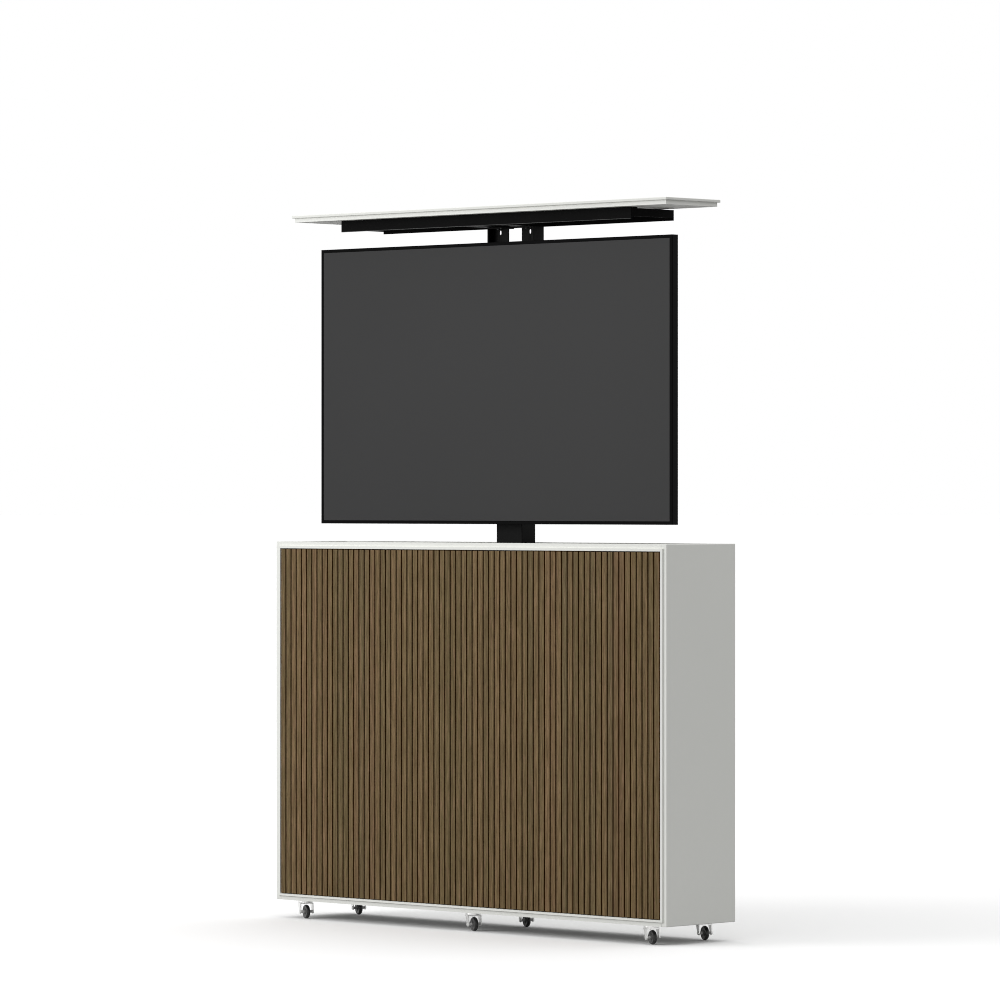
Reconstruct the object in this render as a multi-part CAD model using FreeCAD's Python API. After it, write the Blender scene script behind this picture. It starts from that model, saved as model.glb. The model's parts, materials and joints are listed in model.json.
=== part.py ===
import FreeCAD, Part

import os

from FreeCAD import Vector

# Cabinet on casters with a telescoping column that raises a flat television and
# its lid out of the top. Modelled with the lift fully raised. X is the width,
# -Y the slatted front, +Z up. The origin is on the floor under the middle.

# ---- driving dimensions, millimetres ----

# television
TV_WIDTH = 1230.0
TV_HEIGHT = 707.0
TV_EDGE_DEPTH = 22.0
TV_DEPTH = 43.7
BEZEL_WIDTH = 8.0
BEZEL_DEPTH = 3.0
SCREEN_THICKNESS = 3.0
SCREEN_RECESS = 0.6
SCREEN_GAP = 0.2
COVER_WALL = 2.5
HUMP_WIDTH = 860.0
HUMP_BOTTOM = 60.0
HUMP_TOP_DROP = 147.0
HUMP_FLARE = 12.0
VESA_PITCH = 300.0

# cabinet shell
PANEL_THICKNESS = 18.0
BOTTOM_THICKNESS = 16.0
FRONT_BOARD_THICKNESS = 12.0
BACK_THICKNESS = 12.0
TV_SIDE_ROOM = 37.2
SIDE_RIM = 13.55
FRONT_RIM = 32.85
REAR_RIM = 28.2
UNDER_TV_ROOM = 120.8
BATTEN_SIZE = 20.0
BATTEN_END_GAP = 20.0
CORNER_EASE = 0.8

# front trim and slats
TRIM_PROUD = 4.0
TRIM_WIDTH = 6.75
TRIM_FOOT_WIDTH = 4.9
TRIM_REVEAL = 0.5
SLAT_WIDTH = 15.4
SLAT_GAP = 3.85
SLAT_DEPTH = 8.0
SLAT_RECESS = 0.2
SLAT_END_GAP = 2.0
SLAT_EDGE_GAP = 2.8
SLAT_EASE = 0.5

# back panel
VENT_SLOT_LENGTH = 160.0
VENT_SLOT_HEIGHT = 6.0
VENT_PITCH = 14.0
VENT_COUNT = 8
VENT_TOP_DROP = 70.0
PORT_RADIUS = 26.0
GROMMET_WALL = 4.0
GROMMET_FLANGE = 4.0
GROMMET_FLANGE_THICKNESS = 2.5
PORT_SIDE_INSET = 190.0
PORT_HEIGHT = 62.0
BACK_SCREW_COUNT = 4
BACK_SCREW_END_INSET = 60.0

# lid
LID_GAP = 1.5
LID_OVERHANG = 6.0
LID_REST_GAP = 0.3
LID_THICKNESS = 6.7
PLUG_THICKNESS = 10.2
PLUG_GROOVE = 0.6
TV_TO_BAR = 41.2
FRONT_BAR_HEIGHT = 29.1
SPACER_THICKNESS = 3.0
BAR_LENGTH = 1016.0
BAR_THICKNESS = 3.0
BAR_LEG = 24.0
FRONT_BAR_SETBACK = 28.55
REAR_BAR_SETBACK = 1.2
REAR_BAR_GAP = 1.9
END_BAR_DROP = 20.0
REAR_LEG_END_GAP = 0.3
SPACER_SIZE = 18.0
SPACER_COUNT = 6
SPACER_END_INSET = 58.0

# lift column
MIDDLE_TUBE_WIDTH = 89.0
MIDDLE_TUBE_DEPTH = 49.0
OUTER_WALL = 3.0
MIDDLE_WALL = 2.5
INNER_WALL = 2.5
OUTER_STAGE_GAP = 2.0
INNER_STAGE_GAP = 1.6
PAD_CLEARANCE = 0.2
TUBE_CORNER = 1.5
TUBE_INSIDE_CORNER = 0.75
PAD_EDGE_INSET = 6.0
TUBE_ENGAGEMENT = 183.3
STAGE_STEP = 12.0
SLIDE_PAD_HEIGHT = 60.0
COLLAR_LIP = 3.0
COLLAR_SLEEVE = 40.0
COLLAR_SLEEVE_CORNER = 1.5
TV_REVEAL = 46.2
TV_SETBACK = 31.4
COLUMN_CLEARANCE = 2.9

# column base and drive
BASE_PLATE_THICKNESS = 6.0
BASE_MARGIN = 20.0
BASE_DEPTH_MARGIN = 15.0
GEARBOX_LENGTH = 66.0
GEARBOX_DEPTH = 50.0
GEARBOX_HEIGHT = 60.0
MOTOR_RADIUS = 24.0
MOTOR_HEIGHT = 104.0
MOTOR_CAP_RADIUS = 15.0
MOTOR_CAP_HEIGHT = 6.0
DRIVE_SHAFT_RADIUS = 3.5
DRIVE_SHAFT_LIFT = 4.5
DRIVE_SHAFT_CLEARANCE = 0.3
ACTUATOR_RADIUS = 15.0
ACTUATOR_WALL = 2.2
ACTUATOR_FOOT_RADIUS = 16.0
ACTUATOR_FOOT_HEIGHT = 9.0
ROD_CLEARANCE = 0.3
ROD_WALL = 2.4
ROD_STEP = 6.0
CONTROL_BOX_SIZE = (150.0, 80.0, 40.0)
CONTROL_BOX_INSET = 250.0
CONTROL_BOX_REAR_GAP = 12.0
CONTROL_SOCKET_SIZE = (8.0, 16.0, 12.0)
CONTROL_SOCKET_COUNT = 3
CONTROL_SOCKET_PITCH = 22.0

# television mount
ARM_THICKNESS = 4.0
ARM_SPAN = 160.8
WEB_GAP = 47.4
ARM_AHEAD = 21.2
ARM_BEHIND = 17.9
WEB_SETBACK = 3.6
ARM_TAIL = 50.0
ARM_LIP = 24.0
ARM_STEP_DROP = 40.0
ARM_CAP_THICKNESS = 3.0
ARM_SLOT_WIDTH = 8.0
ARM_SLOT_HEIGHT = 12.0
ARM_SLOT_DROP = 3.4
HEAD_PLATE_THICKNESS = 6.0
HEAD_EAR_HEIGHT = 40.0
HEAD_EAR_THICKNESS = 5.0
CROSSBAR_LENGTH = 420.0
CROSSBAR_HEIGHT = 60.0
CROSSBAR_THICKNESS = 4.0
CROSSBAR_PITCH = 200.0
LIP_BOLT_PITCH = 30.0
RAIL_DEPTH = 9.0
RAIL_WALL = 2.5
RAIL_WIDTH = 34.0
RAIL_LIP = 13.0
RAIL_OVERRUN = 30.0

# casters
CASTER_HEIGHT = 47.0
CASTER_END_INSET = 77.0
CASTER_EDGE_INSET = 30.0
CASTER_COLUMNS = 3
CASTER_HEADING = 247.0
CASTER_TRAIL = 6.0
WHEEL_RADIUS = 17.6
WHEEL_WIDTH = 9.4
WHEEL_SHOULDER_RADIUS = 15.8
HUB_RADIUS = 3.6
HUB_SIDE_PLAY = 0.3
WHEEL_TOP_GAP = 2.5
AXLE_RADIUS = 2.5
AXLE_PLAY = 0.1
AXLE_HEAD_RADIUS = 4.2
AXLE_HEAD_THICKNESS = 1.4
FORK_INNER_WIDTH = 31.0
FORK_THICKNESS = 2.5
FORK_BOSS_RADIUS = 5.5
CROWN_LENGTH = 20.0
RACE_RADIUS = 9.6
RACE_THICKNESS = 1.4
RACE_GAP = 0.1
CAP_RADIUS = 19.0
KINGPIN_RADIUS = 4.0
KINGPIN_HEAD_RADIUS = 5.0
KINGPIN_HEAD_THICKNESS = 1.2
KINGPIN_PLAY = 0.1
KINGPIN_HEAD_GAP = 0.3
STEM_RADIUS = 5.0
STEM_LENGTH = 12.0

# fasteners
SCREW_HOLE_PLAY = 0.1
BOLT_RADIUS = 4.0
BOLT_HEAD_RADIUS = 6.5
BOLT_HEAD_HEIGHT = 5.0
SCREW_RADIUS = 2.0
SCREW_HEAD_RADIUS = 4.0
SCREW_HEAD_HEIGHT = 2.2
SCREW_BITE = 7.0
BASE_BOLT_BITE = 12.0
BACK_SCREW_BITE = 14.0
VESA_SCREW_RADIUS = 3.0
VESA_HEAD_RADIUS = 5.5
VESA_HEAD_HEIGHT = 3.5

# ---- sizes that follow ----

OUTER_TUBE_WIDTH = MIDDLE_TUBE_WIDTH + 2 * (OUTER_STAGE_GAP + OUTER_WALL)
OUTER_TUBE_DEPTH = MIDDLE_TUBE_DEPTH + 2 * (OUTER_STAGE_GAP + OUTER_WALL)
INNER_TUBE_WIDTH = MIDDLE_TUBE_WIDTH - 2 * (MIDDLE_WALL + INNER_STAGE_GAP)
INNER_TUBE_DEPTH = MIDDLE_TUBE_DEPTH - 2 * (MIDDLE_WALL + INNER_STAGE_GAP)

# across, half widths from the middle plane
OPENING_HALF = TV_WIDTH / 2 + TV_SIDE_ROOM
INNER_HALF = OPENING_HALF + SIDE_RIM
CABINET_HALF = INNER_HALF + PANEL_THICKNESS
PLUG_HALF = OPENING_HALF - LID_GAP
LID_HALF = PLUG_HALF + LID_OVERHANG

# front to back, all from the front face of the trim
BEFORE_TV = TRIM_PROUD + FRONT_RIM + LID_GAP + FRONT_BAR_SETBACK + TV_SETBACK
TV_TO_COLUMN = TV_DEPTH + RAIL_DEPTH + CROSSBAR_THICKNESS + COLUMN_CLEARANCE
BEHIND_COLUMN = REAR_BAR_GAP + BAR_THICKNESS + REAR_BAR_SETBACK + LID_GAP + REAR_RIM
OVERALL_DEPTH = BEFORE_TV + TV_TO_COLUMN + OUTER_TUBE_DEPTH + BEHIND_COLUMN

Y_FRONT = -OVERALL_DEPTH / 2
Y_SHELL_FRONT = Y_FRONT + TRIM_PROUD
Y_SHELL_REAR = OVERALL_DEPTH / 2
Y_SLAT_FRONT = Y_FRONT + SLAT_RECESS
Y_BOARD_FRONT = Y_SLAT_FRONT + SLAT_DEPTH
Y_BOARD_REAR = Y_BOARD_FRONT + FRONT_BOARD_THICKNESS
Y_BACK_FRONT = Y_SHELL_REAR - BACK_THICKNESS
Y_OPENING_FRONT = Y_SHELL_FRONT + FRONT_RIM
Y_OPENING_REAR = Y_SHELL_REAR - REAR_RIM
Y_PLUG_FRONT = Y_OPENING_FRONT + LID_GAP
Y_PLUG_REAR = Y_OPENING_REAR - LID_GAP
Y_FRONT_BAR = Y_PLUG_FRONT + FRONT_BAR_SETBACK
Y_TV_FRONT = Y_FRONT_BAR + TV_SETBACK
Y_TV_REAR = Y_TV_FRONT + TV_DEPTH
Y_CROSSBAR_FRONT = Y_TV_REAR + RAIL_DEPTH
Y_CROSSBAR_REAR = Y_CROSSBAR_FRONT + CROSSBAR_THICKNESS
Y_COLUMN = Y_CROSSBAR_REAR + COLUMN_CLEARANCE + OUTER_TUBE_DEPTH / 2
Y_REAR_BAR = Y_COLUMN + OUTER_TUBE_DEPTH / 2 + REAR_BAR_GAP

# heights with the lift lowered, which set the cabinet's height
Z_UNDERSIDE = CASTER_HEIGHT
Z_INSIDE = Z_UNDERSIDE + BOTTOM_THICKNESS
Z_TV_LOW = Z_INSIDE + UNDER_TV_ROOM
Z_PLUG_LOW = Z_TV_LOW + TV_HEIGHT + TV_TO_BAR + FRONT_BAR_HEIGHT
Z_TOP = Z_PLUG_LOW + PLUG_THICKNESS - LID_REST_GAP
Z_TOP_UNDERSIDE = Z_TOP - PANEL_THICKNESS

# travel: the raised television stands clear of the cabinet's top
LIFT_TRAVEL = Z_TOP + TV_REVEAL - Z_TV_LOW
STAGE_TRAVEL = LIFT_TRAVEL / 2
TUBE_LENGTH = STAGE_TRAVEL + TUBE_ENGAGEMENT

# heights as modelled, with the lift raised
Z_TV = Z_TV_LOW + LIFT_TRAVEL
Z_TV_TOP = Z_TV + TV_HEIGHT
Z_TV_MIDDLE = Z_TV + TV_HEIGHT / 2
Z_BAR = Z_TV_TOP + TV_TO_BAR
Z_PLUG = Z_BAR + FRONT_BAR_HEIGHT
Z_FRAME_TOP = Z_PLUG - SPACER_THICKNESS
Z_LID = Z_PLUG + PLUG_THICKNESS
Z_LID_TOP = Z_LID + LID_THICKNESS
Z_COLUMN_BASE = Z_INSIDE + BASE_PLATE_THICKNESS
Z_OUTER_TOP = Z_COLUMN_BASE + TUBE_LENGTH
Z_MIDDLE = Z_COLUMN_BASE + STAGE_STEP + STAGE_TRAVEL
Z_MIDDLE_TOP = Z_MIDDLE + TUBE_LENGTH
Z_INNER = Z_COLUMN_BASE + 2 * STAGE_STEP + LIFT_TRAVEL
Z_INNER_TOP = Z_INNER + TUBE_LENGTH
Z_HEAD_TOP = Z_INNER_TOP + HEAD_PLATE_THICKNESS

ARM_OUTER = ARM_SPAN / 2
ARM_INNER = ARM_OUTER - ARM_THICKNESS
WEB_INNER = WEB_GAP / 2
Y_ARM_FRONT = Y_COLUMN - ARM_AHEAD
Y_ARM_REAR = Y_COLUMN + ARM_BEHIND
Y_WEB = Y_COLUMN - WEB_SETBACK
Z_ARM = Z_TV_MIDDLE - CROSSBAR_PITCH / 2 - ARM_TAIL
VESA_HALF = VESA_PITCH / 2
RAIL_HALF = RAIL_WIDTH / 2

GEARBOX_START = OUTER_TUBE_WIDTH / 2
GEARBOX_END = GEARBOX_START + GEARBOX_LENGTH
BASE_PLATE_LEFT = -(OUTER_TUBE_WIDTH / 2 + BASE_MARGIN)
BASE_PLATE_RIGHT = GEARBOX_END + BASE_MARGIN
BASE_PLATE_HALF_DEPTH = OUTER_TUBE_DEPTH / 2 + BASE_DEPTH_MARGIN

Z_AXLE = WHEEL_RADIUS
Z_CROWN = 2 * WHEEL_RADIUS + WHEEL_TOP_GAP
Z_CROWN_TOP = Z_CROWN + FORK_THICKNESS
Z_CAP = Z_CROWN_TOP + RACE_THICKNESS + RACE_GAP
SIDES = (("left", -1), ("right", 1))


# ---- small helpers ----

def block(x0, x1, y0, y1, z0, z1):
    """A box between two corners."""
    corner = Vector(min(x0, x1), min(y0, y1), min(z0, z1))
    return Part.makeBox(abs(x1 - x0), abs(y1 - y0), abs(z1 - z0), corner)


def rod(radius, start, end):
    """A round bar from one point to another."""
    run = end - start
    return Part.makeCylinder(radius, run.Length, start, run)


def fuse(shapes):
    """One solid from touching shapes, with their seams removed."""
    return shapes[0].fuse(shapes[1:]).removeSplitter()


def group(shapes):
    """Separate solids kept together in one node."""
    return Part.makeCompound(shapes)


def is_along(edge, axis):
    direction = edge.Vertexes[-1].Point - edge.Vertexes[0].Point
    return direction.Length > 0 and direction.normalize().cross(axis).Length < 1e-6


def ease(shape, size, axis=None):
    """Small chamfers on the straight edges, or on those along one axis."""
    edges = [e for e in shape.Edges if isinstance(e.Curve, Part.Line)]
    if axis is not None:
        edges = [e for e in edges if is_along(e, axis)]
    return shape.makeChamfer(size, edges)


def round_block(width, depth, radius, z0, z1):
    """A block centred on the column, with rounded upright corners."""
    body = block(-width / 2, width / 2, Y_COLUMN - depth / 2, Y_COLUMN + depth / 2, z0, z1)
    upright = [e for e in body.Edges if is_along(e, Vector(0, 0, 1))]
    return body.makeFillet(radius, upright)


def square_tube(width, depth, wall, z0, z1):
    outside = round_block(width, depth, TUBE_CORNER, z0, z1)
    return outside.cut(round_block(width - 2 * wall, depth - 2 * wall, TUBE_INSIDE_CORNER, z0, z1))


def screw(seat, direction, radius, head_radius, head_height, length):
    """A screw whose head stands on the seat and whose shank runs along direction."""
    along = Vector(direction).normalize()
    head = rod(head_radius, seat, seat - along * head_height)
    return fuse([head, rod(radius, seat, seat + along * length)])


def screw_hole(seat, direction, radius, length):
    along = Vector(direction).normalize()
    return rod(radius + SCREW_HOLE_PLAY, seat, seat + along * length)


def spread(count, first, last):
    """Evenly spaced positions, both ends included."""
    return [first + (last - first) * i / (count - 1) for i in range(count)]


# ---- cabinet ----

def side_panel(sign):
    panel = block(sign * INNER_HALF, sign * CABINET_HALF, Y_SHELL_FRONT, Y_SHELL_REAR, Z_UNDERSIDE, Z_TOP)
    return ease(panel, CORNER_EASE)


def caster_places():
    x = CABINET_HALF - CASTER_END_INSET
    rows = (Y_SHELL_FRONT + CASTER_EDGE_INSET, Y_SHELL_REAR - CASTER_EDGE_INSET)
    return [(px, py) for py in rows for px in spread(CASTER_COLUMNS, -x, x)]


def bottom_panel():
    panel = block(-INNER_HALF, INNER_HALF, Y_SHELL_FRONT, Y_SHELL_REAR, Z_UNDERSIDE, Z_INSIDE)
    up = Vector(0, 0, 1)
    holes = [
        screw_hole(Vector(x, y, Z_UNDERSIDE), up, STEM_RADIUS, STEM_LENGTH) for x, y in caster_places()
    ]
    down = Vector(0, 0, -1)
    holes += [
        screw_hole(Vector(x, y, Z_INSIDE), down, BOLT_RADIUS, BASE_BOLT_BITE) for x, y in base_bolt_places()
    ]
    return panel.cut(holes)


def top_panel():
    """The top with the long hole that the lid closes."""
    panel = block(-INNER_HALF, INNER_HALF, Y_SHELL_FRONT, Y_SHELL_REAR, Z_TOP_UNDERSIDE, Z_TOP)
    hole = block(-OPENING_HALF, OPENING_HALF, Y_OPENING_FRONT, Y_OPENING_REAR, Z_TOP_UNDERSIDE, Z_TOP)
    return panel.cut(hole)


def front_board():
    return block(-INNER_HALF, INNER_HALF, Y_BOARD_FRONT, Y_BOARD_REAR, Z_INSIDE, Z_TOP_UNDERSIDE)


def slats():
    """Upright slats, evenly spaced and centred on the front board."""
    pitch = SLAT_WIDTH + SLAT_GAP
    room = 2 * (INNER_HALF - SLAT_EDGE_GAP)
    count = int((room + SLAT_GAP) // pitch)
    z0, z1 = Z_INSIDE + SLAT_END_GAP, Z_TOP_UNDERSIDE - SLAT_END_GAP
    pieces = []
    for i in range(count):
        x = (i - (count - 1) / 2) * pitch
        slat = block(x - SLAT_WIDTH / 2, x + SLAT_WIDTH / 2, Y_SLAT_FRONT, Y_BOARD_FRONT, z0, z1)
        front_edges = [
            e for e in slat.Edges
            if is_along(e, Vector(0, 0, 1)) and abs(e.Vertexes[0].Y - Y_SLAT_FRONT) < SLAT_EASE
        ]
        pieces.append(slat.makeChamfer(SLAT_EASE, front_edges))
    return group(pieces)


def trim_strip(corners):
    """One mitred strip: four corners in the front plane, run back to the shell."""
    points = [Vector(x, Y_FRONT, z) for x, z in corners]
    face = Part.Face(Part.makePolygon(points + points[:1]))
    return face.extrude(Vector(0, TRIM_PROUD, 0))


def trim_frame():
    """Four mitred strips around the slats, standing proud of the shell."""
    xi = INNER_HALF + TRIM_REVEAL
    xo = xi + TRIM_WIDTH
    zi0, zi1 = Z_INSIDE - TRIM_REVEAL, Z_TOP_UNDERSIDE + TRIM_REVEAL
    zo0, zo1 = zi0 - TRIM_FOOT_WIDTH, zi1 + TRIM_WIDTH
    strips = [
        [(-xo, zo0), (xo, zo0), (xi, zi0), (-xi, zi0)],
        [(-xo, zo1), (-xi, zi1), (xi, zi1), (xo, zo1)],
        [(-xo, zo0), (-xi, zi0), (-xi, zi1), (-xo, zo1)],
        [(xo, zo0), (xo, zo1), (xi, zi1), (xi, zi0)],
    ]
    return group([trim_strip(corners) for corners in strips])


def port_centre(y):
    return Vector(INNER_HALF - PORT_SIDE_INSET, y, Z_INSIDE + PORT_HEIGHT)


def back_screw_seats():
    lowest, highest = Z_INSIDE + BACK_SCREW_END_INSET, Z_TOP_UNDERSIDE - BACK_SCREW_END_INSET
    z = spread(BACK_SCREW_COUNT, lowest, highest)
    x = INNER_HALF - BATTEN_SIZE / 2
    return [Vector(side * x, Y_SHELL_REAR - SCREW_HEAD_HEIGHT, height) for side in (-1, 1) for height in z]


def vent_slots():
    """A ladder of round-ended air slots near the top of the back."""
    slots = []
    radius = VENT_SLOT_HEIGHT / 2
    half = VENT_SLOT_LENGTH / 2 - radius
    for i in range(VENT_COUNT):
        z = Z_TOP_UNDERSIDE - VENT_TOP_DROP - i * VENT_PITCH
        bar = block(-half, half, Y_BACK_FRONT, Y_SHELL_REAR, z - radius, z + radius)
        ends = [rod(radius, Vector(x, Y_BACK_FRONT, z), Vector(x, Y_SHELL_REAR, z)) for x in (-half, half)]
        slots.append(fuse([bar] + ends))
    return slots


def back_panel():
    panel = block(-INNER_HALF, INNER_HALF, Y_BACK_FRONT, Y_SHELL_REAR, Z_INSIDE, Z_TOP_UNDERSIDE)
    sleeve = PORT_RADIUS + GROMMET_WALL + SCREW_HOLE_PLAY
    flange = sleeve + GROMMET_FLANGE
    holes = [
        rod(sleeve, port_centre(Y_BACK_FRONT), port_centre(Y_SHELL_REAR)),
        rod(flange, port_centre(Y_SHELL_REAR - GROMMET_FLANGE_THICKNESS), port_centre(Y_SHELL_REAR)),
    ]
    forward = Vector(0, -1, 0)
    for seat in back_screw_seats():
        holes.append(rod(SCREW_HEAD_RADIUS + SCREW_HOLE_PLAY, seat, seat - forward * SCREW_HEAD_HEIGHT))
        holes.append(screw_hole(seat, forward, SCREW_RADIUS, BACK_THICKNESS))
    return panel.cut(holes + vent_slots())


def back_battens():
    """Two upright battens inside that the back panel screws onto."""
    battens = []
    for sign in (-1, 1):
        x = sign * INNER_HALF
        batten = block(
            x, x - sign * BATTEN_SIZE, Y_BACK_FRONT - BATTEN_SIZE, Y_BACK_FRONT,
            Z_INSIDE + BATTEN_END_GAP, Z_TOP_UNDERSIDE - BATTEN_END_GAP,
        )
        forward = Vector(0, -1, 0)
        holes = [
            screw_hole(seat, forward, SCREW_RADIUS, BACK_THICKNESS + BACK_SCREW_BITE)
            for seat in back_screw_seats() if seat.x * sign > 0
        ]
        battens.append(batten.cut(holes))
    return group(battens)


def back_panel_screws():
    forward = Vector(0, -1, 0)
    length = BACK_THICKNESS - SCREW_HEAD_HEIGHT + BACK_SCREW_BITE
    return group([
        screw(seat, forward, SCREW_RADIUS, SCREW_HEAD_RADIUS, SCREW_HEAD_HEIGHT, length)
        for seat in back_screw_seats()
    ])


def cable_grommet():
    """Lined hole in the back for the television's and the drive's leads."""
    front, rear = port_centre(Y_BACK_FRONT), port_centre(Y_SHELL_REAR)
    flange_start = port_centre(Y_SHELL_REAR - GROMMET_FLANGE_THICKNESS)
    sleeve = rod(PORT_RADIUS + GROMMET_WALL, front, rear)
    flange = rod(PORT_RADIUS + GROMMET_WALL + GROMMET_FLANGE, flange_start, rear)
    return fuse([sleeve, flange]).cut(rod(PORT_RADIUS, front, rear))


# ---- fixed part of the lift ----

def base_bolt_places():
    inset = BASE_MARGIN / 2
    xs = (BASE_PLATE_LEFT + inset, BASE_PLATE_RIGHT - inset)
    ys = (Y_COLUMN - BASE_PLATE_HALF_DEPTH + inset, Y_COLUMN + BASE_PLATE_HALF_DEPTH - inset)
    return [(x, y) for x in xs for y in ys]


def column_base_plate():
    y0, y1 = Y_COLUMN - BASE_PLATE_HALF_DEPTH, Y_COLUMN + BASE_PLATE_HALF_DEPTH
    plate = block(BASE_PLATE_LEFT, BASE_PLATE_RIGHT, y0, y1, Z_INSIDE, Z_COLUMN_BASE)
    down = Vector(0, 0, -1)
    holes = [
        screw_hole(Vector(x, y, Z_COLUMN_BASE), down, BOLT_RADIUS, BASE_PLATE_THICKNESS)
        for x, y in base_bolt_places()
    ]
    return plate.cut(holes)


def base_bolts():
    down = Vector(0, 0, -1)
    length = BASE_PLATE_THICKNESS + BASE_BOLT_BITE
    return group([
        screw(Vector(x, y, Z_COLUMN_BASE), down, BOLT_RADIUS, BOLT_HEAD_RADIUS, BOLT_HEAD_HEIGHT, length)
        for x, y in base_bolt_places()
    ])


def drive_shaft(radius):
    z = Z_COLUMN_BASE + DRIVE_SHAFT_LIFT
    return rod(radius, Vector(ACTUATOR_FOOT_RADIUS, Y_COLUMN, z), Vector(GEARBOX_START, Y_COLUMN, z))


def outer_tube():
    tube = square_tube(OUTER_TUBE_WIDTH, OUTER_TUBE_DEPTH, OUTER_WALL, Z_COLUMN_BASE, Z_OUTER_TOP)
    return tube.cut(drive_shaft(DRIVE_SHAFT_RADIUS + DRIVE_SHAFT_CLEARANCE))


def slide_collar(width, depth, wall, gap, top):
    """A plastic guide: a lip on the tube's end and a sleeve down inside it."""
    lip = round_block(width, depth, TUBE_CORNER, top, top + COLLAR_LIP)
    inside_w, inside_d = width - 2 * wall, depth - 2 * wall
    fit, play = 2 * PAD_CLEARANCE, 2 * (gap - PAD_CLEARANCE)
    bottom = top - COLLAR_SLEEVE
    sleeve = round_block(inside_w - fit, inside_d - fit, COLLAR_SLEEVE_CORNER, bottom, top)
    passage = round_block(inside_w - play, inside_d - play, TUBE_CORNER, bottom, top + COLLAR_LIP)
    return fuse([lip, sleeve]).cut(passage)


def outer_tube_collar():
    return slide_collar(OUTER_TUBE_WIDTH, OUTER_TUBE_DEPTH, OUTER_WALL, OUTER_STAGE_GAP, Z_OUTER_TOP)


def gearbox():
    body = block(
        GEARBOX_START, GEARBOX_END, Y_COLUMN - GEARBOX_DEPTH / 2, Y_COLUMN + GEARBOX_DEPTH / 2,
        Z_COLUMN_BASE, Z_COLUMN_BASE + GEARBOX_HEIGHT,
    )
    return fuse([body, drive_shaft(DRIVE_SHAFT_RADIUS)])


def lift_motor():
    x = (GEARBOX_START + GEARBOX_END) / 2
    z0 = Z_COLUMN_BASE + GEARBOX_HEIGHT
    z1 = z0 + MOTOR_HEIGHT
    can = rod(MOTOR_RADIUS, Vector(x, Y_COLUMN, z0), Vector(x, Y_COLUMN, z1))
    cap = rod(MOTOR_CAP_RADIUS, Vector(x, Y_COLUMN, z1), Vector(x, Y_COLUMN, z1 + MOTOR_CAP_HEIGHT))
    return fuse([can, cap])


def column_rod(radius, z0, z1):
    return rod(radius, Vector(0, Y_COLUMN, z0), Vector(0, Y_COLUMN, z1))


def actuator_tube():
    """Fixed tube of the telescopic actuator that stands inside the column."""
    bore = ACTUATOR_RADIUS - ACTUATOR_WALL
    top = Z_OUTER_TOP - ROD_STEP
    foot_top = Z_COLUMN_BASE + ACTUATOR_FOOT_HEIGHT
    body = fuse([
        column_rod(ACTUATOR_RADIUS, Z_COLUMN_BASE, top),
        column_rod(ACTUATOR_FOOT_RADIUS, Z_COLUMN_BASE, foot_top),
    ])
    return body.cut(column_rod(bore, foot_top, top))


def control_box():
    length, depth, height = CONTROL_BOX_SIZE
    socket_length, socket_depth, socket_height = CONTROL_SOCKET_SIZE
    y1 = Y_BACK_FRONT - CONTROL_BOX_REAR_GAP
    x0, z0 = CONTROL_BOX_INSET, Z_INSIDE
    body = block(x0, x0 + length, y1 - depth, y1, z0, z0 + height)
    pieces = [ease(body, CORNER_EASE)]
    for i in range(CONTROL_SOCKET_COUNT):
        y = y1 - depth / 2 + (i - (CONTROL_SOCKET_COUNT - 1) / 2) * CONTROL_SOCKET_PITCH
        z = z0 + height / 2
        pieces.append(block(
            x0 - socket_length, x0 + CORNER_EASE, y - socket_depth / 2, y + socket_depth / 2,
            z - socket_height / 2, z + socket_height / 2,
        ))
    return fuse(pieces)


# ---- moving stages of the lift ----

def middle_tube():
    return square_tube(MIDDLE_TUBE_WIDTH, MIDDLE_TUBE_DEPTH, MIDDLE_WALL, Z_MIDDLE, Z_MIDDLE_TOP)


def middle_tube_collar():
    return slide_collar(MIDDLE_TUBE_WIDTH, MIDDLE_TUBE_DEPTH, MIDDLE_WALL, INNER_STAGE_GAP, Z_MIDDLE_TOP)


def slide_pads(width, depth, gap, z0):
    """Four flat pads round the foot of a moving tube."""
    thickness = gap - PAD_CLEARANCE
    z1 = z0 + SLIDE_PAD_HEIGHT
    half_w, half_d = width / 2, depth / 2
    run_x, run_y = half_w - PAD_EDGE_INSET, half_d - PAD_EDGE_INSET
    pads = []
    for sign in (-1, 1):
        x, y = sign * half_w, Y_COLUMN + sign * half_d
        pads.append(block(x, x + sign * thickness, Y_COLUMN - run_y, Y_COLUMN + run_y, z0, z1))
        pads.append(block(-run_x, run_x, y, y + sign * thickness, z0, z1))
    return group(pads)


def middle_slide_pads():
    return slide_pads(MIDDLE_TUBE_WIDTH, MIDDLE_TUBE_DEPTH, OUTER_STAGE_GAP, Z_MIDDLE)


def lower_rod_radius():
    return ACTUATOR_RADIUS - ACTUATOR_WALL - ROD_CLEARANCE


def upper_rod_radius():
    return lower_rod_radius() - ROD_WALL - ROD_CLEARANCE


def actuator_lower_rod():
    z0, z1 = Z_MIDDLE, Z_MIDDLE_TOP - 2 * ROD_STEP
    bore = lower_rod_radius() - ROD_WALL
    return column_rod(lower_rod_radius(), z0, z1).cut(column_rod(bore, z0, z1))


def inner_tube():
    return square_tube(INNER_TUBE_WIDTH, INNER_TUBE_DEPTH, INNER_WALL, Z_INNER, Z_INNER_TOP)


def inner_slide_pads():
    return slide_pads(INNER_TUBE_WIDTH, INNER_TUBE_DEPTH, INNER_STAGE_GAP, Z_INNER)


def actuator_upper_rod():
    return column_rod(upper_rod_radius(), Z_INNER, Z_INNER_TOP)


# ---- television mount ----

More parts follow.
